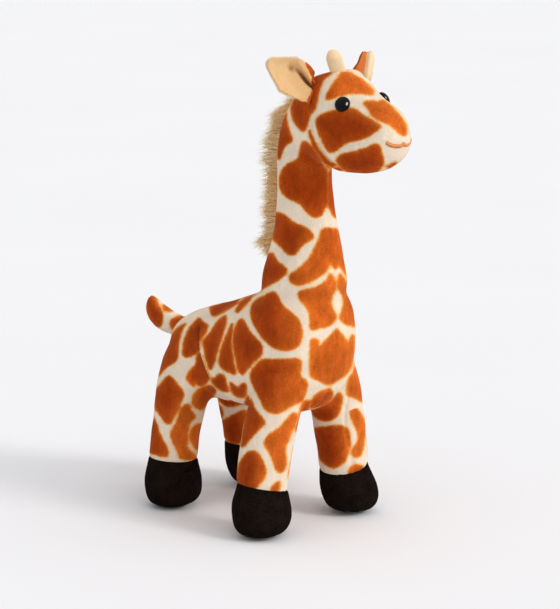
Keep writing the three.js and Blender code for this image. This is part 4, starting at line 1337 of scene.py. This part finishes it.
def tan_lining(name, dark, light, fleck):
    """Plain tan plush with a little drift, the print's brown where patch_mm is above zero, and
    painted shade towards dark brown where fold is high.
    """
    g = Graph(name)
    drift = g.varied(60, 3)
    tan = g.mix(drift, color(dark), color(light))
    depth = g.kept("patch_mm")
    fibre = g.varied(1300, 2, -FIBRE_LEANS, FIBRE_LEANS)
    printed = g.ramp(g.spread(g.math("ADD", depth, fibre), -1.0, 3.0),
                     [(0.0, "F3C98F"), (0.3, "EE9E50"), (0.5, "D4681C"), (1.0, "C85C18")])
    base = g.mix(g.spread(depth, -0.8, 0.2), tan, printed)
    # Painted shade: where fold is high, in the ear's fold and dimple, the tan goes towards dark
    # brown.
    base = g.mix(g.math("MULTIPLY", g.kept("fold"), FOLD_SHADE), base, color("7E4A20"))
    grain = g.varied(1000, 2)
    flecked = g.mix(g.math("MULTIPLY", grain, 0.35), base, color(fleck))
    pile = g.bump(g.noise(1300, 3), 0.5, 0.0004)
    soft = g.bump(g.noise(190, 2), 0.3, 0.0009, pile)
    return g.finish(flecked, 0.95, soft, Sheen_Weight=0.15, Sheen_Roughness=0.5,
                    Sheen_Tint=color("F6DDB8"), Specular_IOR_Level=0.0)


lining = tan_lining("ear lining", "DEB079", "E7C08F", "CE9A5E")
horn_plush = tan_lining("horn plush", "EFCFA2", "F6E0BE", "E2B98A")
print("tan finishes:", lining.name, "and", horn_plush.name)

# %% Outlines of the ears
EAR_PATCHES = {
    "ear fold right": [(307, 62), (313, 64), (323, 71), (323, 92), (314, 108), (304, 108),
                       (298, 90), (302, 72)],
    "ear fold left": [(346, 84), (350, 71), (355, 65), (358.5, 59), (360, 50), (362, 44),
                      (366, 44), (367, 52), (366.5, 64), (364.5, 75), (362, 88)],
}
NEAR_PATCHES.update(EAR_PATCHES)
EAR_MIDDLES = {"right": (289.0, 78.0), "left": (362.5, 68.0)}
OUTER_OUTLINES = {
    "right": [(265, 62), (267.5, 58.5), (271.5, 56.5), (288.8, 56), (296.5, 55.8), (303, 59),
              (310.5, 65), (316, 72.5), (317, 82), (315, 92), (310, 105), (288.5, 98),
              (278.3, 92.5), (274, 84), (268.5, 75), (264.8, 67)],
    "left": [(349.5, 74), (353.5, 67.5), (357.5, 62), (360, 55.5), (362.5, 50.5), (366, 49.3),
             (370, 51.5), (373.5, 57), (374, 66), (373, 75), (371, 83), (364, 86), (356, 84)],
}
LINING_OUTLINES = {
    "right": [(266.3, 63), (268.5, 60), (272, 58), (288.8, 57.5), (296.5, 58), (304, 61.6),
              (308.2, 68.5), (311.8, 77), (313.4, 87.5), (308.8, 103.5), (288.8, 96.5),
              (279.2, 91), (275.2, 83), (269.8, 74.5), (266.2, 67)],
    "left": [(351, 74), (354.5, 68.5), (358.5, 62.5), (361, 56), (363.3, 51.5), (366, 50.3),
             (369.5, 52.5), (372.7, 57.5), (373.2, 66), (372.3, 74), (370, 82), (364, 85),
             (357, 83)],
}
print(len(EAR_MIDDLES), "ears, two leaves each")

# %% Moves seen in the picture
RIM_PARTS = 60
LEAF_STEP_PX = 0.3


def moved_in_photo(points, move, depth):
    """Moves points across the line of sight by pixels to the right and down."""
    shift = move[:, :1] * VIEW_RIGHT - move[:, 1:] * VIEW_UP
    return points + shift * (depth / FOCAL_PX)[:, None]


def fitted_to(points, ear_middle, outline):
    """A point's way from the ear's middle grows by (wanted rim / own rim - 1) (r / rim)^2."""
    pixels, depth = in_photo(points)
    away = pixels - ear_middle
    radius = np.linalg.norm(away, axis=1)
    angle = np.arctan2(away[:, 1], away[:, 0])
    part = ((angle + np.pi) / (2 * np.pi) * RIM_PARTS).astype(int) % RIM_PARTS
    rim = np.zeros(RIM_PARTS)
    np.maximum.at(rim, part, radius)
    rim = (np.roll(rim, 1) + 2 * rim + np.roll(rim, -1)) / 4
    middles = (np.arange(RIM_PARTS) + 0.5) / RIM_PARTS * 2 * np.pi - np.pi
    own = np.interp(angle, middles, rim, period=2 * np.pi)
    row = resampled([*outline, outline[0]], LEAF_STEP_PX)[:-1] - ear_middle
    row_angle = np.arctan2(row[:, 1], row[:, 0])
    wanted = np.interp(angle, row_angle, np.linalg.norm(row, axis=1), period=2 * np.pi)
    stretch = (wanted / own - 1) * (radius / own) ** 2
    return moved_in_photo(points, away * stretch[:, None], depth)


print("a leaf's rim in", RIM_PARTS, "parts")

# %% Folds of the right ear
FOLD_ROW = [(296.5, 69), (300, 72.5), (304.3, 78.5), (308.5, 83.5), (313.5, 87.5)]
FOLD_DEEP = 9.0 * MM
FOLD_WIDE_PX = 1.8
FOLD_STARTS = 0.25
FOLD_GROWS = 1.9
ROLL_ROW = [(300, 65), (304, 70.5), (308.3, 76.5), (312, 81)]
ROLL_HIGH = 2.2 * MM
ROLL_WIDE_PX = 3.0
DIMPLE = (290.8, 68)
DIMPLE_DEEP = 3.6 * MM
DIMPLE_WIDE_PX = 3.2
VALLEY_WIDE_PX = 1.5
VALLEY_STARTS = 0.2
VALLEY_GROWS = 2.2
ROOT_END = (314.5, 80.5)
ROOT_END_PX = 5.5
ROOT_END_SINKS = 2.5 * MM
FLAT_ROUNDS = 45
DIMPLE_SHADE = 0.35


def sewn_flat(mesh, points):
    """The upper end of the root is sewn down: many rounds of smoothing, kept only near it."""
    pixels, _ = in_photo(points)
    near = bell(np.linalg.norm(pixels - ROOT_END, axis=1), ROOT_END_PX)
    flat = smoothed(mesh, points, FLAT_ROUNDS) + ROOT_END_SINKS * VIEW_AHEAD
    return points + near[:, None] * (flat - points)


def from_fold(pixels):
    """The distance of pixels to the fold, and the share of the fold that lies before them."""
    row = resampled(FOLD_ROW, LEAF_STEP_PX)
    far, which = nearest(pixels, row)
    return far, which / len(row)


def folded(points):
    """Pushes the leaf along the sight by bells: the fold and the dimple away, the roll nearer."""
    pixels, _ = in_photo(points)
    far, along = from_fold(pixels)
    share = np.clip(FOLD_STARTS + FOLD_GROWS * along, 0.0, 1.0)
    push = FOLD_DEEP * share * bell(far, FOLD_WIDE_PX)
    from_roll, _ = nearest(pixels, resampled(ROLL_ROW, LEAF_STEP_PX))
    push -= ROLL_HIGH * bell(from_roll, ROLL_WIDE_PX)
    push += DIMPLE_DEEP * bell(np.linalg.norm(pixels - DIMPLE, axis=1), DIMPLE_WIDE_PX)
    return points + push[:, None] * VIEW_AHEAD


def painted_valley_shade(points):
    """Painted shade: 1 in the bottom of the fold and up to a third in the dimple, seen in the
    picture.
    """
    pixels, _ = in_photo(points)
    far, along = from_fold(pixels)
    share = np.clip(VALLEY_STARTS + VALLEY_GROWS * along, 0.0, 1.0)
    fold = share * bell(far, VALLEY_WIDE_PX)
    from_dimple = np.linalg.norm(pixels - DIMPLE, axis=1)
    return np.maximum(fold, DIMPLE_SHADE * bell(from_dimple, DIMPLE_WIDE_PX))


print("fold of", len(FOLD_ROW), "pixels and roll of", len(ROLL_ROW))

# %% Ears
EAR_VOXEL = 0.85 * MM
EAR_SEEDS = 17.0 * MM
EAR_ROUNDS = 3
FITTED_ROUNDS = 2


def thin_form(name, node):
    """A node's form at a fine remesh, smoothed."""
    piece = remeshed(name, [node], EAR_VOXEL, 0.0, 0.0)
    set_points(piece.data, smoothed(piece.data, points_of(piece.data), EAR_ROUNDS))
    return piece


for side in SIDES:
    outer = thin_form(f"ear_{side}_outer_cover", f"ear_outer_{side}")
    inner = thin_form(f"ear_{side}_lining_cover", f"ear_lining_{side}")
    for leaf, outlines in ((outer, OUTER_OUTLINES), (inner, LINING_OUTLINES)):
        leaf_points = fitted_to(points_of(leaf.data), np.array(EAR_MIDDLES[side]), outlines[side])
        leaf_points = smoothed(leaf.data, leaf_points, FITTED_ROUNDS)
        if leaf is outer and side == "right":
            leaf_points = sewn_flat(leaf.data, leaf_points)
        set_points(leaf.data, folded(leaf_points) if side == "right" else leaf_points)
    print_pattern(outer, EAR_SEEDS)
    keep_painted_light(outer)
    dress(outer, plush, "printed_plush", f"ear_{side}", f"ear_outer_{side}")
    fold_patch = {"fold": EAR_PATCHES["ear fold left"]} if side == "left" else {}
    set_number(inner, "patch_mm", depth_in_patches(points_of(inner.data), fold_patch))
    if side == "right":
        # The lining's fold number is painted shade in the bottom of the fold and in the dimple.
        set_number(inner, "fold", painted_valley_shade(points_of(inner.data)))
    dress(inner, lining, "lining_plush", f"ear_{side}", f"ear_lining_{side}")
    print("ear", side, len(outer.data.polygons), "and", len(inner.data.polygons), "faces")

# %% Horns
HORN_VOXEL = 1.8 * MM
HORN_SHRINKS = 0.4 * MM
HORN_SWELLS = 1.0 * MM
LEAN_PX = np.array([4.0, 3.0])
LEAN_HIGH = 20.0 * MM
HORN_AXES = {"right": ((332.8, 50), (338.8, 72)), "left": ((370.5, 52), (368.5, 78))}
HORN_SHARE = 0.86
FOOT_HIGH = 12.0 * MM
FOOT_SINKS = 4.5 * MM


def narrowed(points, axis):
    """A horn is drawn in across its axis, a line through two pixels from top to foot."""
    pixels, depth = in_photo(points)
    top, foot = np.array(axis)
    middle = top[0] + (pixels[:, 1] - top[1]) * (foot[0] - top[0]) / (foot[1] - top[1])
    move = np.stack([(HORN_SHARE - 1.0) * (pixels[:, 0] - middle), np.zeros(len(pixels))], 1)
    return moved_in_photo(points, move, depth)


def sunk_foot(points):
    """The lowest part of a horn is drawn back into the head, most at its foot."""
    share = np.clip(1.0 - (points[:, 2] - points[:, 2].min()) / FOOT_HIGH, 0.0, 1.0)
    return points + (FOOT_SINKS * share)[:, None] * VIEW_AHEAD


def leaned(points, base):
    """The left horn leans by a few pixels, more with the distance from its base."""
    _, depth = in_photo(points)
    share = np.clip(np.linalg.norm(points - base, axis=1) / LEAN_HIGH, 0.0, 1.0)
    return moved_in_photo(points, LEAN_PX * share[:, None], depth)


for side in SIDES:
    horn = remeshed(f"horn_{side}_cover", [f"horn_{side}"], HORN_VOXEL, 0.0, HORN_SHRINKS)
    stuff(horn, HORN_SWELLS)
    subdivided(horn, 1)
    horn_points = points_of(horn.data)
    if side == "left":
        horn_points = leaned(horn_points, horn_points[horn_points[:, 2].argmin()])
    set_points(horn.data, sunk_foot(narrowed(horn_points, HORN_AXES[side])))
    set_number(horn, "patch_mm", np.full(len(horn_points), -PATCH_REACH))
    dress(horn, horn_plush, "lining_plush", "toy", f"horn_{side}")
print("horns of", len(horn.data.polygons), "faces")

# %% [markdown]
# ## The mane
#
# The mane is a strip of long pile. Under it lies a low soft ridge, drawn in so that it never
# shows as a plank, and from the ridge stand tufts of fibre that point back and droop a little.
# Each lock is a narrow leaf with three sides that tapers to its tip: a path through the root,
# the middle and the tip carries a small triangle. Real fibres would be far too many, so a few
# thousand locks stand for them, and all are computed as one array.

# %% Mane pile


def mane_pile():
    """Light tan fibre, darker at the roots, with a colour drift from lock to lock."""
    g = Graph("mane pile")
    along = g.kept("lock_along")
    tint = g.kept("lock_tint")
    root = g.mix(tint, color("FAB566"), color("FFD490"))
    tip = g.mix(tint, color("FFD898"), color("FFEFCC"))
    base = g.mix(g.spread(along, 0.1, 0.8), root, tip)
    return g.finish(base, 0.75, g.bump(g.noise(900, 2), 0.3, 0.0003), Sheen_Weight=0.6,
                    Sheen_Roughness=0.5, Sheen_Tint=color("FFE6BE"), Specular_IOR_Level=0.1)


mane_finish = mane_pile()
print("mane finish:", mane_finish.name)

# %% Shape of a lock
LOCK_RINGS = 5
LOCK_SIDES = 3
LOCK_TAPER = 0.96
LOCK_ROLL = np.array([0.31, 0.22, 0.92])


def lock_shapes(roots, out, length, droop, curl, width):
    """Point at s is root + s length out + s^2 (droop + curl), with width falling as 1 - s^1.5."""
    s = np.linspace(0.0, 1.0, LOCK_RINGS)
    path = roots[:, None] + s[None, :, None] * (length[:, None] * out)[:, None]
    path = path + (s**2)[None, :, None] * (droop + curl)[:, None]
    ahead = unit(np.gradient(path, axis=1))
    side = unit(np.cross(ahead, LOCK_ROLL))
    up = np.cross(side, ahead)
    turn = np.arange(LOCK_SIDES) * 2 * np.pi / LOCK_SIDES
    radius = width[:, None] * (1 - LOCK_TAPER * s[None] ** 1.5)
    ring = side[:, :, None] * np.cos(turn)[:, None] + up[:, :, None] * np.sin(turn)[:, None]
    return path[:, :, None] + radius[:, :, None, None] * ring, s


def tube_faces(count, rings, sides):
    """Quads between the rings of many tubes, and a flat cap at each end."""
    k = np.arange(sides)
    after = (k + 1) % sides
    row = np.arange(rings - 1)[:, None] * sides
    quads = np.stack([row + k, row + after, row + sides + after, row + sides + k], -1)
    start = np.arange(count)[:, None] * rings * sides
    body = (start[:, :, None] + quads.reshape(1, -1, 4)).reshape(-1, 4)
    last = start + (rings - 1) * sides + k
    return body.tolist() + (start + k[::-1]).tolist() + last.tolist()


print("a lock has", LOCK_RINGS * LOCK_SIDES, "points")

# %% Roots of the locks
LOCKS = 7400
MANE_SEED = 7
MANE_LOW, MANE_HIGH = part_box("mane")
MANE_LONG = 26.0 * MM
MANE_HALF_WIDE = 4.6 * MM
MANE_LOW_END = 0.083
MANE_HIGH_END = 0.09
BEHIND_TOY = 0.3
random = np.random.default_rng(MANE_SEED)
cover_tree = surface_tree(cover)


def mane_roots(across, high):
    """Rays from behind meet the cover at the roots; the outward direction comes with them."""
    starts = np.stack([across, np.full(len(across), BEHIND_TOY), high], 1)
    hits = [cover_tree.ray_cast(Vector(start), Vector((0.0, -1.0, 0.0))) for start in starts]
    return np.array([hit[0][:] for hit in hits]), np.array([hit[1][:] for hit in hits])


share = random.uniform(0.0, 1.0, LOCKS)
high = MANE_LOW[2] + share * (MANE_HIGH[2] - MANE_LOW[2])
across = np.clip(random.normal(0.0, 0.5, LOCKS), -1.0, 1.0) * MANE_HALF_WIDE
roots, away = mane_roots(across, high)
end_share = np.minimum(np.sqrt(share / MANE_LOW_END), np.sqrt((1 - share) / MANE_HIGH_END))
swell = np.minimum(1.0, end_share)
print(len(roots), "roots, mane", round((MANE_HIGH[2] - MANE_LOW[2]) / MM), "mm high")

# %% Tufts and locks
TUFTS = 40
TUFT_STEP = 8.0 * MM
TUFT_MIXED = 1.2 * MM
TUFT_GATHERS = 0.5
END_LONG = 0.25
SPLAY = 0.15
DOWN = 0.02
ROOT_SINKS = 0.8 * MM
LOCK_THICK = 0.36 * MM
LOCK_DROOP = 0.0022
LOCK_DROOP_MORE = 0.0025
LOCK_CURL = 0.0011
tuft_middles = MANE_LOW[2] + np.cumsum(random.uniform(0.5, 1.5, TUFTS)) * TUFT_STEP
mixed_high = high[:, None] + random.normal(0.0, TUFT_MIXED, (LOCKS, 1))
tuft = np.abs(mixed_high - tuft_middles).argmin(1)
tuft_long = random.uniform(0.9, 1.04, len(tuft_middles))
tuft_lift = random.normal(0.0, 0.06, len(tuft_middles))
tuft_aside = random.normal(0.0, 0.1, len(tuft_middles))
long = MANE_LONG * (END_LONG + (1 - END_LONG) * swell) * tuft_long[tuft]
long = long * random.uniform(0.78, 1.0, LOCKS)
gather = (tuft_middles[tuft] - high) / MANE_LONG * TUFT_GATHERS
aside = across / MANE_HALF_WIDE * SPLAY + tuft_aside[tuft] + random.normal(0.0, 0.07, LOCKS)
upwards = gather + tuft_lift[tuft] - DOWN + random.normal(0.0, 0.09, LOCKS)
ways = np.stack([aside, np.ones(LOCKS), upwards], 1)
hang = -LOCK_DROOP - LOCK_DROOP_MORE * random.random(LOCKS)
droop = np.stack([np.zeros(LOCKS), np.zeros(LOCKS), hang], 1)
curl = random.normal(0.0, LOCK_CURL, (LOCKS, 3))
width = LOCK_THICK * random.uniform(0.7, 1.15, LOCKS)
shapes, along = lock_shapes(roots - ROOT_SINKS * away, unit(ways), long, droop, curl, width)
lock_faces = tube_faces(LOCKS, LOCK_RINGS, LOCK_SIDES)
locks = make_object("mane_locks", shapes.reshape(-1, 3), lock_faces)
set_number(locks, "lock_along", np.tile(np.repeat(along, LOCK_SIDES), LOCKS))
tuft_tint = random.uniform(0.15, 0.85, len(tuft_middles))
lock_tint = np.clip(tuft_tint[tuft] + random.normal(0.0, 0.25, LOCKS), 0.0, 1.0)
set_number(locks, "lock_tint", np.repeat(lock_tint, LOCK_SIDES * LOCK_RINGS))
print("mane of", LOCKS, "locks,", len(locks.data.polygons), "faces")

# %% Ridge under the locks
RIDGE_VOXEL = 2.0 * MM
RIDGE_SHRINKS = 3.6 * MM
RIDGE_SHARE = 0.86
RIDGE_NARROW = 0.7
RIDGE_ALONG = 0.45
RIDGE_TINT = 0.5
ridge = remeshed("mane_base", ["mane"], RIDGE_VOXEL, 0.0, RIDGE_SHRINKS)
ridge_points = points_of(ridge.data)
ridge_high = np.clip(ridge_points[:, 2], MANE_LOW[2] + MM, MANE_HIGH[2] - MM)
ridge_roots, _ = mane_roots(np.zeros(len(ridge_high)), ridge_high)
stands_out = ridge_points[:, 1] - ridge_roots[:, 1]
ridge_points[:, 1] -= (1.0 - RIDGE_SHARE) * np.maximum(stands_out, 0.0)
ridge_points[:, 0] *= RIDGE_NARROW
set_points(ridge.data, ridge_points)
set_number(ridge, "lock_along", np.full(len(ridge_points), RIDGE_ALONG))
set_number(ridge, "lock_tint", np.full(len(ridge_points), RIDGE_TINT))
dress(ridge, mane_finish, "mane_pile", "toy", "mane")
dress(locks, mane_finish, "mane_pile", "toy", "mane")
print("ridge of", len(ridge_points), "points")

# %% [markdown]
# ## Eyes
#
# The eyes are glossy black buttons. A button is a profile turned about the eye's axis: a dome
# that falls steeply to a rim which lies on the cloth, closed by a flat back. The washers that
# hold the buttons inside the head keep the form that the frame gives them, and only get a
# finish.

# %% Eyes
EYE_SEGMENTS = 48
EYE_DOME = 3.9 * MM
EYE_BACK = -1.4 * MM


def turned(profile, seat, out, segments):
    """A profile of radius and height carried round an axis; the poles are single points."""
    side = unit(np.cross(out, [0.0, 0.0, 1.0]))
    up = np.cross(side, out)
    turn = np.arange(segments) * 2 * np.pi / segments
    ring = np.cos(turn)[:, None] * side + np.sin(turn)[:, None] * up
    rings = profile[1:-1, 0][:, None, None] * ring + profile[1:-1, 1][:, None, None] * out
    points = np.concatenate([[profile[0, 1] * out], rings.reshape(-1, 3), [profile[-1, 1] * out]])
    count = len(profile) - 2
    k = np.arange(segments)
    after = (k + 1) % segments
    row = 1 + np.arange(count - 1)[:, None] * segments
    quads = np.stack([row + k, row + segments + k, row + segments + after, row + after], -1)
    top = np.stack([np.zeros_like(k), 1 + k, 1 + after], 1)
    last = 1 + (count - 1) * segments
    base = np.stack([np.full_like(k, len(points) - 1), last + after, last + k], 1)
    return seat + points, quads.reshape(-1, 4).tolist() + top.tolist() + base.tolist()


def eye_gloss():
    """Black plastic with a clear gloss and the faintest drift in its colour."""
    g = Graph("eye gloss")
    base = g.mix(g.noise(300, 2), color("040303"), color("080606"))
    rough = g.varied(500, 2, 0.03, 0.05)
    return g.finish(base, rough, Specular_IOR_Level=0.12, IOR=1.5)


def washer_plastic():
    """White plastic with a faint moulded grain."""
    g = Graph("washer plastic")
    base = g.mix(g.noise(200, 2), color("E4E2DC"), color("EFEDE8"))
    return g.finish(base, 0.5, g.bump(g.noise(900, 2), 0.1, 0.0002))


gloss = eye_gloss()
white = washer_plastic()
turn = np.linspace(0.0, np.pi / 2, 14)
dome = np.stack([EYE_RADIUS * np.sin(turn), EYE_DOME * np.cos(turn) ** 0.9], 1)
back = np.array([[0.93 * EYE_RADIUS, 0.6 * EYE_BACK], [0.8 * EYE_RADIUS, EYE_BACK],
                 [0.0, EYE_BACK]])
for side in SIDES:
    seat, out = eye_line(side)
    eye_points, eye_faces = turned(np.concatenate([dome, back]), seat, out, EYE_SEGMENTS)
    eye = make_object(f"eye_{side}_button", eye_points, eye_faces)
    dress(eye, gloss, "eye_plastic", "toy", f"eye_{side}")
    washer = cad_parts[f"eye_washer_{side}"]
    washer.data.materials.clear()
    washer.data.materials.append(white)
print("eyes of", len(eye.data.polygons), "faces")

# %% [markdown]
# ## The mouth
#
# The mouth is a short embroidered line that turns up at its ends. Satin stitches lie side by
# side across it. Each stitch is a small tube that rises from the cloth, arches over the line and
# goes back in on its other side.

# %% Mouth thread


def mouth_thread():
    """Orange-brown thread with a soft shine and fine twist."""
    g = Graph("mouth thread")
    base = g.mix(g.noise(700, 2), color("C4680F"), color("DE8E2E"))
    twist = g.bump(g.noise(2600, 2, (1.0, 1.0, 0.3)), 0.4, 0.0002)
    return g.finish(base, 0.55, twist, Sheen_Weight=0.2, Specular_IOR_Level=0.35)


thread = mouth_thread()
print("thread:", thread.name)

# %% Mouth
MOUTH_ROW = [(386.5, 142.6), (390.5, 145.2), (395.6, 146.4), (400.5, 146.2), (404.5, 143.6)]
STITCH_STEP = 0.62 * MM
STITCH_HALF = 1.7 * MM
STITCH_THICK = 0.42 * MM
STITCH_HIGH = 0.7 * MM
STITCH_SINKS = 0.15 * MM
STITCH_SLANT = 0.22
STITCH_TAPER = 0.8
STITCH_RINGS = 5
STITCH_SIDES = 6
MOUTH_STEP_PX = 0.2


def stitches(path, outs):
    """Each stitch is an arch: across from -half to half, and up by high cos(pi t / 2)."""
    ahead = unit(np.gradient(path, axis=0))
    side = unit(np.cross(ahead, outs) + STITCH_SLANT * ahead)
    t = np.linspace(-1.0, 1.0, STITCH_RINGS)
    lift = STITCH_HIGH * np.cos(np.pi * t / 2) - STITCH_SINKS
    arch = STITCH_HALF * t[:, None] * side[:, None]
    middle = path[:, None] + arch + lift[:, None] * outs[:, None]
    turn = np.arange(STITCH_SIDES) * 2 * np.pi / STITCH_SIDES
    thick = STITCH_THICK * np.sqrt(np.maximum(1 - STITCH_TAPER * t**2, 0.0))
    ring = np.cos(turn)[:, None] * ahead[:, None, None]
    ring = ring + np.sin(turn)[:, None] * outs[:, None, None]
    return middle[:, :, None] + thick[:, None, None] * ring


mouth_path, _ = onto(cover_tree, resampled(MOUTH_ROW, MOUTH_STEP_PX))
mouth_path = resampled(mouth_path, STITCH_STEP)
mouth_out = np.array([cover_tree.find_nearest(Vector(q))[1][:] for q in mouth_path])
for side, flip in zip(SIDES, (1.0, -1.0)):
    flipped = np.array([flip, 1.0, 1.0])
    arches = stitches(mouth_path * flipped, mouth_out * flipped)
    row = make_object(f"mouth_{side}_row", arches.reshape(-1, 3),
                      tube_faces(len(mouth_path), STITCH_RINGS, STITCH_SIDES))
    whole = bmesh.new()
    whole.from_mesh(row.data)
    bmesh.ops.recalc_face_normals(whole, faces=whole.faces)
    whole.to_mesh(row.data)
    whole.free()
    dress(row, thread, "mouth_thread", "toy", f"mouth_stitch_{side}")
print("mouth of", len(mouth_path), "stitches on each side")

# %% [markdown]
# ## Floor and light
#
# The toy stands on a pale floor in soft light. The glint in its eye says where the main light
# stood: in front of the toy, a little to its left and not high. It has a small bright core and a
# wide soft rim. A weak light from above and the world all round fill the shadows. A fourth
# light, which only shiny surfaces see, makes the glint. Light from a direction, and not from a
# lamp at a place, keeps the floor as bright far away as it is near. What a camera or a glossy
# surface sees of the world is a pale backdrop; for all other rays the world is only the weaker
# fill.

# %% Floor
FLOOR_HALF = 12.0
FLOOR_POINTS = np.array([[-1.0, -1.0, 0.0], [1.0, -1.0, 0.0], [1.0, 1.0, 0.0], [-1.0, 1.0, 0.0]])


def pale_floor():
    """Matte pale paint with the faintest drift."""
    g = Graph("pale floor")
    base = g.mix(g.noise(3, 2), color("F2F2F3"), color("F5F5F6"))
    return g.finish(base, 0.9, Specular_IOR_Level=0.0)


floor = make_object("floor", FLOOR_POINTS * FLOOR_HALF, [[0, 1, 2, 3]])
floor.data.materials.append(pale_floor())
print("floor", round(2 * FLOOR_HALF), "m wide")

# %% Lights and backdrop
FILL = 0.66


def sun(name, towards, strength, soft):
    """Light from one direction, softened by the width of its disc in degrees."""
    data = bpy.data.lights.new(name, "SUN")
    data.energy = strength
    data.angle = np.radians(soft)
    lamp = placed(name, data)
    lamp.rotation_euler = Vector(towards).to_track_quat("Z", "Y").to_euler()
    return lamp


sun("key core", (0.30, -0.88, 0.60), 1.1, 17.0)
sun("key rim", (0.25, -0.85, 0.75), 0.65, 80.0)
eye_light = sun("eye light", (-0.08, -0.86, 0.52), 18.0, 38.0)
eye_light.visible_diffuse = False
sun("top", (-0.15, 0.1, 1.0), 0.3, 80.0)
world = bpy.data.worlds.new("studio")
world.use_nodes = True
bpy.context.scene.world = world
backdrop = world.node_tree.nodes["Background"]
backdrop.inputs["Color"].default_value = color("F4F4F6")
rays = world.node_tree.nodes.new("ShaderNodeLightPath").outputs
seen = rays["Is Camera Ray"]
for ray in ("Is Glossy Ray", "Is Transmission Ray"):
    either = world.node_tree.nodes.new("ShaderNodeMath")
    either.operation = "MAXIMUM"
    world.node_tree.links.new(seen, either.inputs[0])
    world.node_tree.links.new(rays[ray], either.inputs[1])
    seen = either.outputs[0]
strength = world.node_tree.nodes.new("ShaderNodeMapRange")
strength.inputs["To Min"].default_value = FILL
strength.inputs["To Max"].default_value = 1.0
world.node_tree.links.new(seen, strength.inputs["Value"])
world.node_tree.links.new(strength.outputs["Result"], backdrop.inputs["Strength"])
bpy.context.scene.view_settings.view_transform = "Standard"
